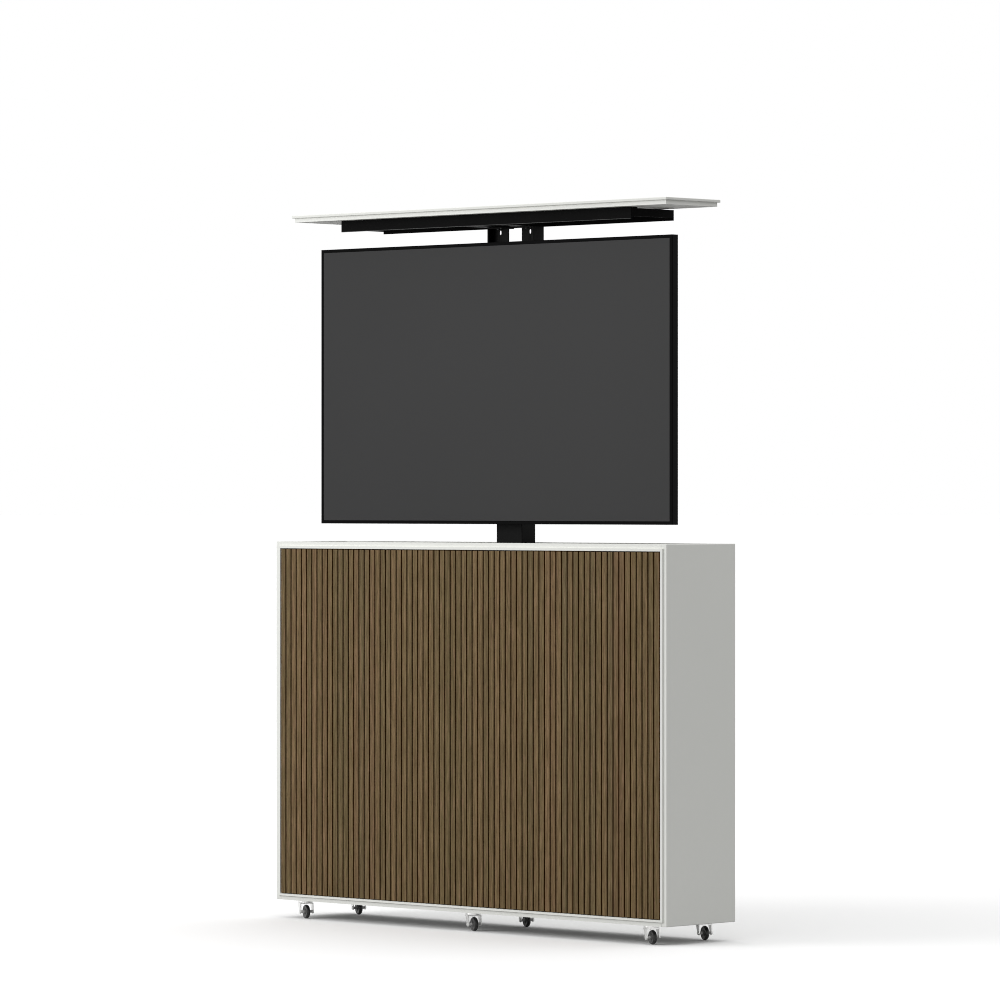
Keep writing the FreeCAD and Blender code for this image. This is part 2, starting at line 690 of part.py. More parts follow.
def ear_bolt_seats(sign):
    z = Z_INNER_TOP - HEAD_EAR_HEIGHT / 2
    return [Vector(sign * ARM_OUTER, Y_COLUMN + dy, z) for dy in (-ARM_BEHIND / 2, ARM_BEHIND / 2)]


def head_bracket():
    """Plate on the inner tube's end, with an ear down each side for the arms."""
    half_depth = INNER_TUBE_DEPTH / 2
    y0, y1 = Y_COLUMN - half_depth, Y_COLUMN + min(half_depth, ARM_BEHIND)
    pieces = [block(-ARM_INNER, ARM_INNER, y0, y1, Z_INNER_TOP, Z_HEAD_TOP)]
    for sign in (-1, 1):
        x = sign * ARM_INNER
        z0 = Z_INNER_TOP - HEAD_EAR_HEIGHT
        pieces.append(block(x, x - sign * HEAD_EAR_THICKNESS, y0, y1, z0, Z_INNER_TOP))
    holes = [
        screw_hole(seat, Vector(-sign, 0, 0), BOLT_RADIUS, ARM_THICKNESS + HEAD_EAR_THICKNESS)
        for sign in (-1, 1) for seat in ear_bolt_seats(sign)
    ]
    return fuse(pieces).cut(holes)


def arm_slot(sign):
    """Upright oblong hole near the top of the arm's web."""
    x = sign * (WEB_INNER + ARM_OUTER) / 2
    radius = ARM_SLOT_WIDTH / 2
    z1 = Z_BAR - ARM_CAP_THICKNESS - ARM_SLOT_DROP
    z0 = z1 - ARM_SLOT_HEIGHT
    y0, y1 = Y_WEB, Y_WEB + ARM_THICKNESS
    middle = block(x - radius, x + radius, y0, y1, z0 + radius, z1 - radius)
    ends = [rod(radius, Vector(x, y0, z), Vector(x, y1, z)) for z in (z0 + radius, z1 - radius)]
    return fuse([middle] + ends)


def crossbar_heights():
    return [Z_TV_MIDDLE + sign * CROSSBAR_PITCH / 2 for sign in (-1, 1)]


def lip_bolt_seats(sign, z):
    x = sign * (ARM_OUTER + ARM_LIP / 2)
    y = Y_CROSSBAR_REAR + ARM_THICKNESS
    return [Vector(x, y, z + dz) for dz in (-LIP_BOLT_PITCH / 2, LIP_BOLT_PITCH / 2)]


def cap_bolt_seats(sign):
    x = sign * (WEB_INNER + ARM_INNER) / 2
    z = Z_BAR - ARM_CAP_THICKNESS
    ys = ((Y_ARM_FRONT + Y_WEB) / 2, (Y_WEB + ARM_THICKNESS + Y_ARM_REAR) / 2)
    return [Vector(x, y, z) for y in ys]


def arm(sign):
    """Upright arm: a side plate, a slotted web above the column, a lip and a cap."""
    outer, inner = sign * ARM_OUTER, sign * ARM_INNER
    z_step = Z_TV_TOP - ARM_STEP_DROP
    z_cap = Z_BAR - ARM_CAP_THICKNESS
    y_lip = Y_CROSSBAR_REAR + ARM_THICKNESS
    pieces = [
        block(inner, outer, Y_ARM_FRONT, Y_ARM_REAR, Z_ARM, z_cap),
        block(inner, outer, Y_CROSSBAR_REAR, Y_ARM_FRONT, Z_ARM, z_step),
        block(outer, outer + sign * ARM_LIP, Y_CROSSBAR_REAR, y_lip, Z_ARM, z_step),
        block(sign * WEB_INNER, inner, Y_WEB, Y_WEB + ARM_THICKNESS, Z_HEAD_TOP, z_cap),
        block(sign * WEB_INNER, outer, Y_ARM_FRONT, Y_ARM_REAR, z_cap, Z_BAR),
    ]
    inward, forward, up = Vector(-sign, 0, 0), Vector(0, -1, 0), Vector(0, 0, 1)
    holes = [arm_slot(sign)]
    holes += [screw_hole(seat, inward, BOLT_RADIUS, ARM_THICKNESS) for seat in ear_bolt_seats(sign)]
    holes += [screw_hole(seat, up, SCREW_RADIUS, ARM_CAP_THICKNESS) for seat in cap_bolt_seats(sign)]
    for z in crossbar_heights():
        holes += [screw_hole(seat, forward, BOLT_RADIUS, ARM_THICKNESS) for seat in lip_bolt_seats(sign, z)]
    return fuse(pieces).cut(holes)


def rail_bolt_seats(sign, z):
    offset = RAIL_HALF + RAIL_LIP / 2
    return [Vector(sign * VESA_HALF + dx, Y_CROSSBAR_REAR, z) for dx in (-offset, offset)]


def crossbar(z):
    bar = block(
        -CROSSBAR_LENGTH / 2, CROSSBAR_LENGTH / 2, Y_CROSSBAR_FRONT, Y_CROSSBAR_REAR,
        z - CROSSBAR_HEIGHT / 2, z + CROSSBAR_HEIGHT / 2,
    )
    forward = Vector(0, -1, 0)
    holes = []
    for sign in (-1, 1):
        holes += [
            screw_hole(seat, forward, BOLT_RADIUS, ARM_THICKNESS + CROSSBAR_THICKNESS)
            for seat in lip_bolt_seats(sign, z)
        ]
        holes += [
            screw_hole(seat, forward, SCREW_RADIUS, CROSSBAR_THICKNESS) for seat in rail_bolt_seats(sign, z)
        ]
    return bar.cut(holes)


def vesa_seats(sign):
    y = Y_TV_REAR + RAIL_WALL
    return [Vector(sign * VESA_HALF, y, Z_TV_MIDDLE + dz) for dz in (-VESA_HALF, VESA_HALF)]


def vesa_rail(sign):
    """Hat-section rail: its crown on the television, its lips on the crossbars."""
    x = sign * VESA_HALF
    z0, z1 = Z_TV_MIDDLE - VESA_HALF - RAIL_OVERRUN, Z_TV_MIDDLE + VESA_HALF + RAIL_OVERRUN
    pieces = [block(x - RAIL_HALF, x + RAIL_HALF, Y_TV_REAR, Y_TV_REAR + RAIL_WALL, z0, z1)]
    for side in (-1, 1):
        edge = x + side * RAIL_HALF
        lip_y = Y_CROSSBAR_FRONT - RAIL_WALL
        pieces.append(block(edge, edge - side * RAIL_WALL, Y_TV_REAR, Y_CROSSBAR_FRONT, z0, z1))
        pieces.append(block(edge, edge + side * RAIL_LIP, lip_y, Y_CROSSBAR_FRONT, z0, z1))
    forward = Vector(0, -1, 0)
    holes = [screw_hole(seat, forward, VESA_SCREW_RADIUS, RAIL_WALL) for seat in vesa_seats(sign)]
    for z in crossbar_heights():
        for seat in rail_bolt_seats(sign, z):
            holes.append(screw_hole(seat, forward, SCREW_RADIUS, CROSSBAR_THICKNESS + RAIL_WALL))
    return fuse(pieces).cut(holes)


def mount_bolts():
    """All screws of the television mount."""
    forward, up = Vector(0, -1, 0), Vector(0, 0, 1)
    bolt_head = (BOLT_RADIUS, BOLT_HEAD_RADIUS, BOLT_HEAD_HEIGHT)
    screw_head = (SCREW_RADIUS, SCREW_HEAD_RADIUS, SCREW_HEAD_HEIGHT)
    vesa_head = (VESA_SCREW_RADIUS, VESA_HEAD_RADIUS, VESA_HEAD_HEIGHT)
    screws = []
    for sign in (-1, 1):
        inward = Vector(-sign, 0, 0)
        for seat in ear_bolt_seats(sign):
            screws.append(screw(seat, inward, *bolt_head, ARM_THICKNESS + HEAD_EAR_THICKNESS))
        for seat in cap_bolt_seats(sign):
            screws.append(screw(seat, up, *screw_head, ARM_CAP_THICKNESS + BAR_THICKNESS))
        for seat in vesa_seats(sign):
            screws.append(screw(seat, forward, *vesa_head, RAIL_WALL + COVER_WALL))
        for z in crossbar_heights():
            for seat in lip_bolt_seats(sign, z):
                screws.append(screw(seat, forward, *bolt_head, ARM_THICKNESS + CROSSBAR_THICKNESS))
            for seat in rail_bolt_seats(sign, z):
                screws.append(screw(seat, forward, *screw_head, CROSSBAR_THICKNESS + RAIL_WALL))
    return group(screws)


# ---- television ----

def tv_hump(grow, y0, y1):
    """The thick middle of the rear cover, its sides leaning in towards the back."""
    def outline(inset, y):
        x = HUMP_WIDTH / 2 + grow - inset
        z0 = Z_TV + HUMP_BOTTOM - grow + inset
        z1 = Z_TV_TOP - HUMP_TOP_DROP + grow - inset
        corners = [Vector(-x, y, z0), Vector(x, y, z0), Vector(x, y, z1), Vector(-x, y, z1)]
        return Part.makePolygon(corners + corners[:1])
    return Part.makeLoft([outline(0.0, y0), outline(HUMP_FLARE, y1)], True, True)


def tv_rear_cover():
    """Thin shell with a rim, a flat back and a thicker hump for the electronics."""
    half = TV_WIDTH / 2
    y0, y1 = Y_TV_FRONT + BEZEL_DEPTH, Y_TV_FRONT + TV_EDGE_DEPTH
    slab = block(-half, half, y0, y1, Z_TV, Z_TV_TOP)
    room = block(
        -half + COVER_WALL, half - COVER_WALL, y0, y1 - COVER_WALL, Z_TV + COVER_WALL, Z_TV_TOP - COVER_WALL
    )
    outside = slab.fuse(tv_hump(0.0, y1, Y_TV_REAR))
    inside = room.fuse(tv_hump(-COVER_WALL, y1 - COVER_WALL, Y_TV_REAR - COVER_WALL))
    forward = Vector(0, -1, 0)
    holes = [
        screw_hole(seat, forward, VESA_SCREW_RADIUS, RAIL_WALL + COVER_WALL)
        for sign in (-1, 1) for seat in vesa_seats(sign)
    ]
    return outside.cut([inside] + holes)


def tv_bezel():
    half = TV_WIDTH / 2
    y0, y1 = Y_TV_FRONT, Y_TV_FRONT + BEZEL_DEPTH
    frame = block(-half, half, y0, y1, Z_TV, Z_TV_TOP)
    window = block(
        -half + BEZEL_WIDTH, half - BEZEL_WIDTH, y0, y1, Z_TV + BEZEL_WIDTH, Z_TV_TOP - BEZEL_WIDTH
    )
    return frame.cut(window)


def tv_screen():
    edge = BEZEL_WIDTH + SCREEN_GAP
    half = TV_WIDTH / 2 - edge
    y0 = Y_TV_FRONT + SCREEN_RECESS
    return block(-half, half, y0, y0 + SCREEN_THICKNESS, Z_TV + edge, Z_TV_TOP - edge)


# ---- lid and its frame ----

def lid_screw_xs():
    reach = BAR_LENGTH / 2 - SPACER_END_INSET
    return spread(SPACER_COUNT, -reach, reach)


def front_screw_seats():
    y = Y_FRONT_BAR + BAR_THICKNESS + (BAR_LEG - BAR_THICKNESS) / 2
    return [Vector(x, y, Z_PLUG - BAR_THICKNESS) for x in lid_screw_xs()]


def rear_screw_seats():
    y = Y_REAR_BAR - (BAR_LEG - BAR_THICKNESS) / 2
    return [Vector(x, y, Z_FRAME_TOP - BAR_THICKNESS) for x in lid_screw_xs()]


def lid_front_bar():
    """Steel angle along the front, its upper leg screwed under the lid."""
    half = BAR_LENGTH / 2
    face = block(-half, half, Y_FRONT_BAR, Y_FRONT_BAR + BAR_THICKNESS, Z_BAR, Z_PLUG)
    leg = block(-half, half, Y_FRONT_BAR, Y_FRONT_BAR + BAR_LEG, Z_PLUG - BAR_THICKNESS, Z_PLUG)
    holes = [screw_hole(seat, Vector(0, 0, 1), SCREW_RADIUS, BAR_THICKNESS) for seat in front_screw_seats()]
    return fuse([face, leg]).cut(holes)


def lid_rear_bar():
    """Lower steel angle along the rear, its leg under the spacers."""
    half = BAR_LENGTH / 2
    leg_half = half - BAR_THICKNESS - REAR_LEG_END_GAP
    face = block(-half, half, Y_REAR_BAR, Y_REAR_BAR + BAR_THICKNESS, Z_BAR, Z_FRAME_TOP)
    leg = block(
        -leg_half, leg_half, Y_REAR_BAR + BAR_THICKNESS - BAR_LEG, Y_REAR_BAR + BAR_THICKNESS,
        Z_FRAME_TOP - BAR_THICKNESS, Z_FRAME_TOP,
    )
    holes = [screw_hole(seat, Vector(0, 0, 1), SCREW_RADIUS, BAR_THICKNESS) for seat in rear_screw_seats()]
    return fuse([face, leg]).cut(holes)


def lid_cross_bar(sign):
    """Angle between the two long bars, standing on an arm's cap."""
    y0, y1 = Y_FRONT_BAR + BAR_THICKNESS, Y_REAR_BAR
    z1 = Z_FRAME_TOP - BAR_THICKNESS
    inner, outer = sign * WEB_INNER, sign * ARM_INNER
    foot = block(inner, outer, y0, y1, Z_BAR, Z_BAR + BAR_THICKNESS)
    wall = block(outer - sign * BAR_THICKNESS, outer, y0, y1, Z_BAR, z1)
    up, depth = Vector(0, 0, 1), ARM_CAP_THICKNESS + BAR_THICKNESS
    holes = [screw_hole(seat, up, SCREW_RADIUS, depth) for seat in cap_bolt_seats(sign)]
    return fuse([foot, wall]).cut(holes)


def lid_end_bars():
    """Flat bars that close the frame's two ends."""
    y0, y1 = Y_FRONT_BAR + BAR_THICKNESS, Y_REAR_BAR
    z0 = Z_FRAME_TOP - END_BAR_DROP
    x = BAR_LENGTH / 2
    return group([block(sign * (x - BAR_THICKNESS), sign * x, y0, y1, z0, Z_FRAME_TOP) for sign in (-1, 1)])


def lid_spacer_pads():
    up = Vector(0, 0, 1)
    half = SPACER_SIZE / 2
    pads = []
    for seat in rear_screw_seats():
        pad = block(seat.x - half, seat.x + half, seat.y - half, seat.y + half, Z_FRAME_TOP, Z_PLUG)
        pads.append(pad.cut(screw_hole(seat, up, SCREW_RADIUS, BAR_THICKNESS + SPACER_THICKNESS)))
    return group(pads)


def lid_screws():
    up = Vector(0, 0, 1)
    head = (SCREW_RADIUS, SCREW_HEAD_RADIUS, SCREW_HEAD_HEIGHT)
    front = [screw(seat, up, *head, BAR_THICKNESS + SCREW_BITE) for seat in front_screw_seats()]
    rear_length = BAR_THICKNESS + SPACER_THICKNESS + SCREW_BITE
    rear = [screw(seat, up, *head, rear_length) for seat in rear_screw_seats()]
    return group(front + rear)


def lid_plug():
    """Board that drops into the top opening, with a fine groove under the lid."""
    z_groove = Z_LID - PLUG_GROOVE
    body = block(-PLUG_HALF, PLUG_HALF, Y_PLUG_FRONT, Y_PLUG_REAR, Z_PLUG, z_groove)
    neck_half = PLUG_HALF - PLUG_GROOVE
    y0, y1 = Y_PLUG_FRONT + PLUG_GROOVE, Y_PLUG_REAR - PLUG_GROOVE
    neck = block(-neck_half, neck_half, y0, y1, z_groove, Z_LID)
    up = Vector(0, 0, 1)
    holes = [screw_hole(seat, up, SCREW_RADIUS, BAR_THICKNESS + SCREW_BITE) for seat in front_screw_seats()]
    rear_length = BAR_THICKNESS + SPACER_THICKNESS + SCREW_BITE
    holes += [screw_hole(seat, up, SCREW_RADIUS, rear_length) for seat in rear_screw_seats()]
    return fuse([body, neck]).cut(holes)


def lid_top():
    sheet = block(
        -LID_HALF, LID_HALF, Y_PLUG_FRONT - LID_OVERHANG, Y_PLUG_REAR + LID_OVERHANG, Z_LID, Z_LID_TOP
    )
    return ease(sheet, CORNER_EASE)


# ---- casters, built with the swivel axis on Z and the axle along X ----

def caster_mount(x, y):
    """Round cap with a stem up into the panel and a kingpin down through the fork."""
    pin_end = Z_CROWN - KINGPIN_HEAD_GAP
    pieces = [
        rod(CAP_RADIUS, Vector(x, y, Z_CAP), Vector(x, y, Z_UNDERSIDE)),
        rod(STEM_RADIUS, Vector(x, y, Z_UNDERSIDE), Vector(x, y, Z_UNDERSIDE + STEM_LENGTH)),
        rod(KINGPIN_RADIUS, Vector(x, y, pin_end), Vector(x, y, Z_CAP)),
        rod(KINGPIN_HEAD_RADIUS, Vector(x, y, pin_end - KINGPIN_HEAD_THICKNESS), Vector(x, y, pin_end)),
    ]
    return fuse(pieces)


def caster_mounts():
    return group([caster_mount(x, y) for x, y in caster_places()])


def fork_leg(sign):
    """Leg that narrows from the crown down to a round boss at the axle."""
    inner = sign * FORK_INNER_WIDTH / 2
    half = CROWN_LENGTH / 2
    run = Vector(sign * FORK_THICKNESS, 0, 0)
    corners = [
        Vector(inner, -half, Z_CROWN_TOP),
        Vector(inner, half, Z_CROWN_TOP),
        Vector(inner, CASTER_TRAIL + FORK_BOSS_RADIUS, Z_AXLE),
        Vector(inner, CASTER_TRAIL - FORK_BOSS_RADIUS, Z_AXLE + FORK_BOSS_RADIUS / 2),
    ]
    plate = Part.Face(Part.makePolygon(corners + corners[:1])).extrude(run)
    centre = Vector(inner, CASTER_TRAIL, Z_AXLE)
    return plate.fuse(rod(FORK_BOSS_RADIUS, centre, centre + run))


def axle_pin():
    half = FORK_INNER_WIDTH / 2 + FORK_THICKNESS
    reach = half + AXLE_HEAD_THICKNESS
    pieces = [rod(AXLE_RADIUS, Vector(-half, CASTER_TRAIL, Z_AXLE), Vector(half, CASTER_TRAIL, Z_AXLE))]
    for sign in (-1, 1):
        start, end = Vector(sign * half, CASTER_TRAIL, Z_AXLE), Vector(sign * reach, CASTER_TRAIL, Z_AXLE)
        pieces.append(rod(AXLE_HEAD_RADIUS, start, end))
    return fuse(pieces)


def fork_body():
    half_width = FORK_INNER_WIDTH / 2 + FORK_THICKNESS
    half = CROWN_LENGTH / 2
    crown = block(-half_width, half_width, -half, half, Z_CROWN, Z_CROWN_TOP)
    body = fuse([crown, fork_leg(-1), fork_leg(1)])
    far = half_width + AXLE_HEAD_THICKNESS
    axle_hole = rod(
        AXLE_RADIUS + SCREW_HOLE_PLAY, Vector(-far, CASTER_TRAIL, Z_AXLE), Vector(far, CASTER_TRAIL, Z_AXLE)
    )
    pin_hole = rod(KINGPIN_RADIUS + KINGPIN_PLAY, Vector(0, 0, Z_CROWN), Vector(0, 0, Z_CROWN_TOP))
    return body.cut([axle_hole, pin_hole])


def swivel_race():
    z1 = Z_CROWN_TOP + RACE_THICKNESS
    ring = rod(RACE_RADIUS, Vector(0, 0, Z_CROWN_TOP), Vector(0, 0, z1))
    return ring.cut(rod(KINGPIN_RADIUS + KINGPIN_PLAY, Vector(0, 0, Z_CROWN_TOP), Vector(0, 0, z1)))


def wheel_body():
    """Round-treaded wheel with a hub boss out to each leg of the fork."""
    half = WHEEL_WIDTH / 2
    hub = FORK_INNER_WIDTH / 2 - HUB_SIDE_PLAY
    bore = AXLE_RADIUS + AXLE_PLAY
    shoulder = WHEEL_SHOULDER_RADIUS
    crest = Vector(0, WHEEL_RADIUS, 0)
    tread = Part.Arc(Vector(-half, shoulder, 0), crest, Vector(half, shoulder, 0)).toShape()
    right = [(half, shoulder), (half, HUB_RADIUS), (hub, HUB_RADIUS), (hub, bore)]
    left = [(-x, r) for x, r in reversed(right)]
    sides = Part.makePolygon([Vector(x, r, 0) for x, r in right + left])
    profile = Part.Face(Part.Wire([tread] + sides.Edges))
    wheel = profile.revolve(Vector(0, 0, 0), Vector(1, 0, 0), 360)
    wheel.translate(Vector(0, CASTER_TRAIL, Z_AXLE))
    return wheel


def placed(shape, x, y):
    """A caster piece turned to its heading and set under the cabinet."""
    piece = shape.copy()
    piece.rotate(Vector(0, 0, 0), Vector(0, 0, 1), CASTER_HEADING)
    piece.translate(Vector(x, y, 0))
    return piece


# ---- all sub-parts by name ----

def cabinet_nodes():
    return {
        "left_side_panel": side_panel(-1),
        "right_side_panel": side_panel(1),
        "bottom_panel": bottom_panel(),
        "top_panel": top_panel(),
        "front_board": front_board(),
        "front_slats": slats(),
        "front_trim_frame": trim_frame(),
        "back_panel": back_panel(),
        "back_battens": back_battens(),
        "back_panel_screws": back_panel_screws(),
        "cable_grommet": cable_grommet(),
    }


def column_nodes():
    return {
        "column_base_plate": column_base_plate(),
        "base_bolts": base_bolts(),
        "outer_tube": outer_tube(),
        "outer_tube_collar": outer_tube_collar(),
        "gearbox": gearbox(),
        "lift_motor": lift_motor(),
        "control_box": control_box(),
        "actuator_tube": actuator_tube(),
        "middle_tube": middle_tube(),
        "middle_tube_collar": middle_tube_collar(),
        "middle_slide_pads": middle_slide_pads(),
        "actuator_lower_rod": actuator_lower_rod(),
        "inner_tube": inner_tube(),
        "inner_slide_pads": inner_slide_pads(),
        "actuator_upper_rod": actuator_upper_rod(),
    }


def mount_nodes():
    nodes = {"head_bracket": head_bracket(), "mount_bolts": mount_bolts()}
    for side, sign in SIDES:
        nodes[side + "_arm"] = arm(sign)
        nodes[side + "_vesa_rail"] = vesa_rail(sign)
    for level, z in zip(("lower", "upper"), crossbar_heights()):
        nodes[level + "_crossbar"] = crossbar(z)
    return nodes


def television_nodes():
    return {"tv_rear_cover": tv_rear_cover(), "tv_bezel": tv_bezel(), "tv_screen": tv_screen()}


def lid_nodes():
    nodes = {
        "lid_front_bar": lid_front_bar(),
        "lid_rear_bar": lid_rear_bar(),
        "lid_end_bars": lid_end_bars(),
        "lid_spacer_pads": lid_spacer_pads(),
        "lid_screws": lid_screws(),
        "lid_plug": lid_plug(),
        "lid_top": lid_top(),
    }
    for side, sign in SIDES:
        nodes[side + "_lid_cross_bar"] = lid_cross_bar(sign)
    return nodes


def caster_nodes():
    nodes = {"caster_mounts": caster_mounts()}
    fork = group([fork_body(), swivel_race(), axle_pin()])
    wheel = wheel_body()
    for number, (x, y) in enumerate(caster_places(), start=1):
        nodes["caster_fork_%d" % number] = placed(fork, x, y)
        nodes["caster_wheel_%d" % number] = placed(wheel, x, y)
    return nodes


def build():
    nodes = {}
    for part in (cabinet_nodes, column_nodes, mount_nodes, television_nodes, lid_nodes, caster_nodes):
        nodes.update(part())
    return nodes


NODES = build()
os.makedirs("parts", exist_ok=True)
for name, shape in NODES.items():
    shape.exportStep(os.path.join("parts", name + ".step"))
print(len(NODES), "sub-parts, overall depth", OVERALL_DEPTH, "height", Z_LID_TOP, "travel", LIFT_TRAVEL)
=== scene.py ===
import json
import math

import bmesh
import bpy
from mathutils import Matrix, Vector


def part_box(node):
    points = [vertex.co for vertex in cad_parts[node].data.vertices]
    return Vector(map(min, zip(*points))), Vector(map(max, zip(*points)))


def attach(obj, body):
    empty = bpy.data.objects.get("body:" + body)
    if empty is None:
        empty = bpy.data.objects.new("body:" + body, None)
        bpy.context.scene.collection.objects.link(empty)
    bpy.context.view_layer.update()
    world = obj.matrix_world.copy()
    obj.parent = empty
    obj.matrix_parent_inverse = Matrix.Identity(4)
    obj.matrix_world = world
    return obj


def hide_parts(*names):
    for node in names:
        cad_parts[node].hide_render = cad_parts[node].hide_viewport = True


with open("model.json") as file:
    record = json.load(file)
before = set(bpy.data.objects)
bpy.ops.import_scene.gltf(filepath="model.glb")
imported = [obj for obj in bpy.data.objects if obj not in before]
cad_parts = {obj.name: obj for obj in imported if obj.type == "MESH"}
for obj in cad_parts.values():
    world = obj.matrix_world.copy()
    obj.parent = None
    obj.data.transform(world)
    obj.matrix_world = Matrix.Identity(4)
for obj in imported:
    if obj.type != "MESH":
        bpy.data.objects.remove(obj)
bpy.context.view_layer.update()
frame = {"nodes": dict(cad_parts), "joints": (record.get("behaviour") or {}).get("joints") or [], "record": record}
NODES = frame["nodes"]
SLOT_OF = {row["node"]: row["material_slot"] for row in frame["record"]["subparts"]}


# ---- values: lengths in metres, angles in degrees ----

# Pitch of the front's slats.
SLAT_PITCH = 0.01925

# Width of the rounded edge on the nodes whose corners catch the light.
EDGE_WIDTHS = (
    (0.0005, ("left_side_panel", "right_side_panel", "top_panel", "bottom_panel",
              "front_trim_frame")),
    (0.0004, ("lid_plug", "lid_top")),
    (0.0006, ("tv_bezel", "tv_rear_cover", "tv_screen")),
    (0.0003, ("outer_tube", "middle_tube", "inner_tube")),
    (0.0005, ("lid_front_bar", "lid_rear_bar", "lid_end_bars", "left_lid_cross_bar",
              "right_lid_cross_bar")),
    (0.0005, ("left_arm", "right_arm", "head_bracket")),
)
EDGE_SEGMENTS = 2
EDGE_ANGLE = 40.0
WELD_DISTANCE = 1e-5

# Caster wheel: its half width, and the tyre's radius at the shoulders and at mid-tread.
WHEEL_COUNT = 6
WHEEL_HALF, WHEEL_SHOULDER, WHEEL_TREAD = 0.0047, 0.0158, 0.0176
WHEEL_MATERIALS = ["wheel_rubber", "wheel_face", "wheel_hub", "hub_sleeve"]
TYRE, FACE, HUB, SLEEVE = range(4)
# One side of the wheel, bore to tyre: distance from the middle, radius and material.
WHEEL_SIDE = [
    (0.0152, 0.0026, SLEEVE), (0.0152, 0.0032, SLEEVE), (0.0149, 0.0035, SLEEVE),
    (0.0068, 0.0035, HUB), (0.0064, 0.0044, HUB), (0.0061, 0.0062, HUB),
    (0.0052, 0.0070, FACE), (0.0040, 0.0078, FACE), (0.0040, 0.0118, FACE),
    (WHEEL_HALF, 0.0126, FACE), (WHEEL_HALF, 0.0140, TYRE),
]
# The tyre's parting line at mid-tread.
PARTING_HALF, PARTING_DEPTH = 0.0003, 0.0002
CROWN_STEPS = 10
WHEEL_STEPS = 72
WHEEL_SMOOTH_ANGLE = 32.0

# Low reliefs: how far a foot is sunk, and how much of a rise its eased edge takes.
SINK = 0.0003
PAD_EASE, TRAY_EASE = 0.4, 0.3
TRAY_FLOOR = 0.0002
CORNER_STEPS = 3
RELIEF_SMOOTH_ANGLE = 30.0

# Air louvres: two banks of upright ribs, from this far off the middle outwards.
LOUVRE_COUNT, LOUVRE_START, LOUVRE_PITCH = 30, 0.222, 0.0062
LOUVRE_UP = 0.163
LOUVRE = dict(width=0.0030, height=0.040, radius=0.0014, rise=0.0014)

# Socket bay: its place from the cover's middle, its tray, and the trays of its sockets.
BAY_X, BAY_UP = 0.352, -0.020
BAY = dict(width=0.074, height=0.200, radius=0.006, rise=0.0022, rim=0.0018)
WIDE = dict(width=0.0150, height=0.0064, radius=0.0016, rise=0.0018, rim=0.0009, slot=1)
SMALL = dict(width=0.0134, height=0.0058, radius=0.0008, rise=0.0018, rim=0.0008, slot=1)
ROUND = dict(width=0.0100, height=0.0100, radius=0.0048, rise=0.0019, rim=0.0016, slot=1)
INLET = dict(width=0.0240, height=0.0170, radius=0.0030, rise=0.0020, rim=0.0012)
# Each kind of socket: count, offset from the bay's middle, first height and step down.
SOCKETS = (
    (WIDE, 4, -0.012, 0.074, 0.024),
    (SMALL, 2, -0.012, -0.026, 0.020),
    (ROUND, 3, 0.018, 0.070, 0.030),
    (INLET, 1, 0.0, -0.078, 0.0),
)

# Cover screws, on the flat that lies this far behind the cover's front.
COVER_DEPTH = 0.0190
COVER_SCREW_X = (-0.585, -0.300, 0.0, 0.300, 0.585)
COVER_SCREW_INSET = 0.022
SCREW_WELL = dict(width=0.0110, height=0.0110, radius=0.0054, rise=0.0008, rim=0.0016)
SCREW_HEAD = dict(width=0.0072, height=0.0072, radius=0.0035, rise=0.0007, slot=1)

# Painted shade of driver recesses: reach and width of the dark cross, and how far it stands over the head.
COVER_CROSS = (0.0044, 0.0011)
BACK_CROSS = (0.0046, 0.0012)
CROSS_RISE = 0.00004
BACK_SCREW_RADIUS, BACK_SCREW_ROWS = 0.004, 4

# Painted highlight on the lower edge of the lid's front bar: a thin pale roll with tapered ends.
HEM_RADIUS, HEM_END_RADIUS, HEM_BORE = 0.0008, 0.0004, 0.0001
HEM_TAPER, HEM_END_GAP, HEM_INSET = 0.001, 0.0004, 0.0006
HEM_STEPS = 16
HEM_SMOOTH_ANGLE = 50.0

# Studio: the dome's strength up to the horizon and overhead, and the key light.
DOME_LOW, DOME_TOP = 0.30, 1.35
KEY_PLACE = (-3.2, -5.2, 2.4)
KEY_TARGET = (0.0, 0.0, 1.0)
KEY_SIZE = 4.5
KEY_POWER = 195.0
FLOOR_SIZE = 600.0
FLOOR_BOUNCE = 0.24
# What the floor shows the camera near the object, darker there as painted shade, and away from it, and those
# distances.
FLOOR_NEAR_SHADE, FLOOR_FAR = 0.97, 1.02
FLOOR_SPAN = (1.1, 2.4)
PIXEL_FILTER = 1.0

# Camera, fitted to the photograph's straight edges.
CAMERA_PLACE = (9.79967, -10.04449, 1.07775)
CAMERA_TILT, CAMERA_TURN = 90.0, 44.28350506
LENS, SENSOR, CLIP_END = 201.005, 36.0, 1000.0

# Sockets of Blender's Mix node, which are told apart by number only.
FLOAT_A, FLOAT_B = 2, 3
COLOUR_A, COLOUR_B, COLOUR_OUT = 6, 7, 2


# ---- material helpers ----

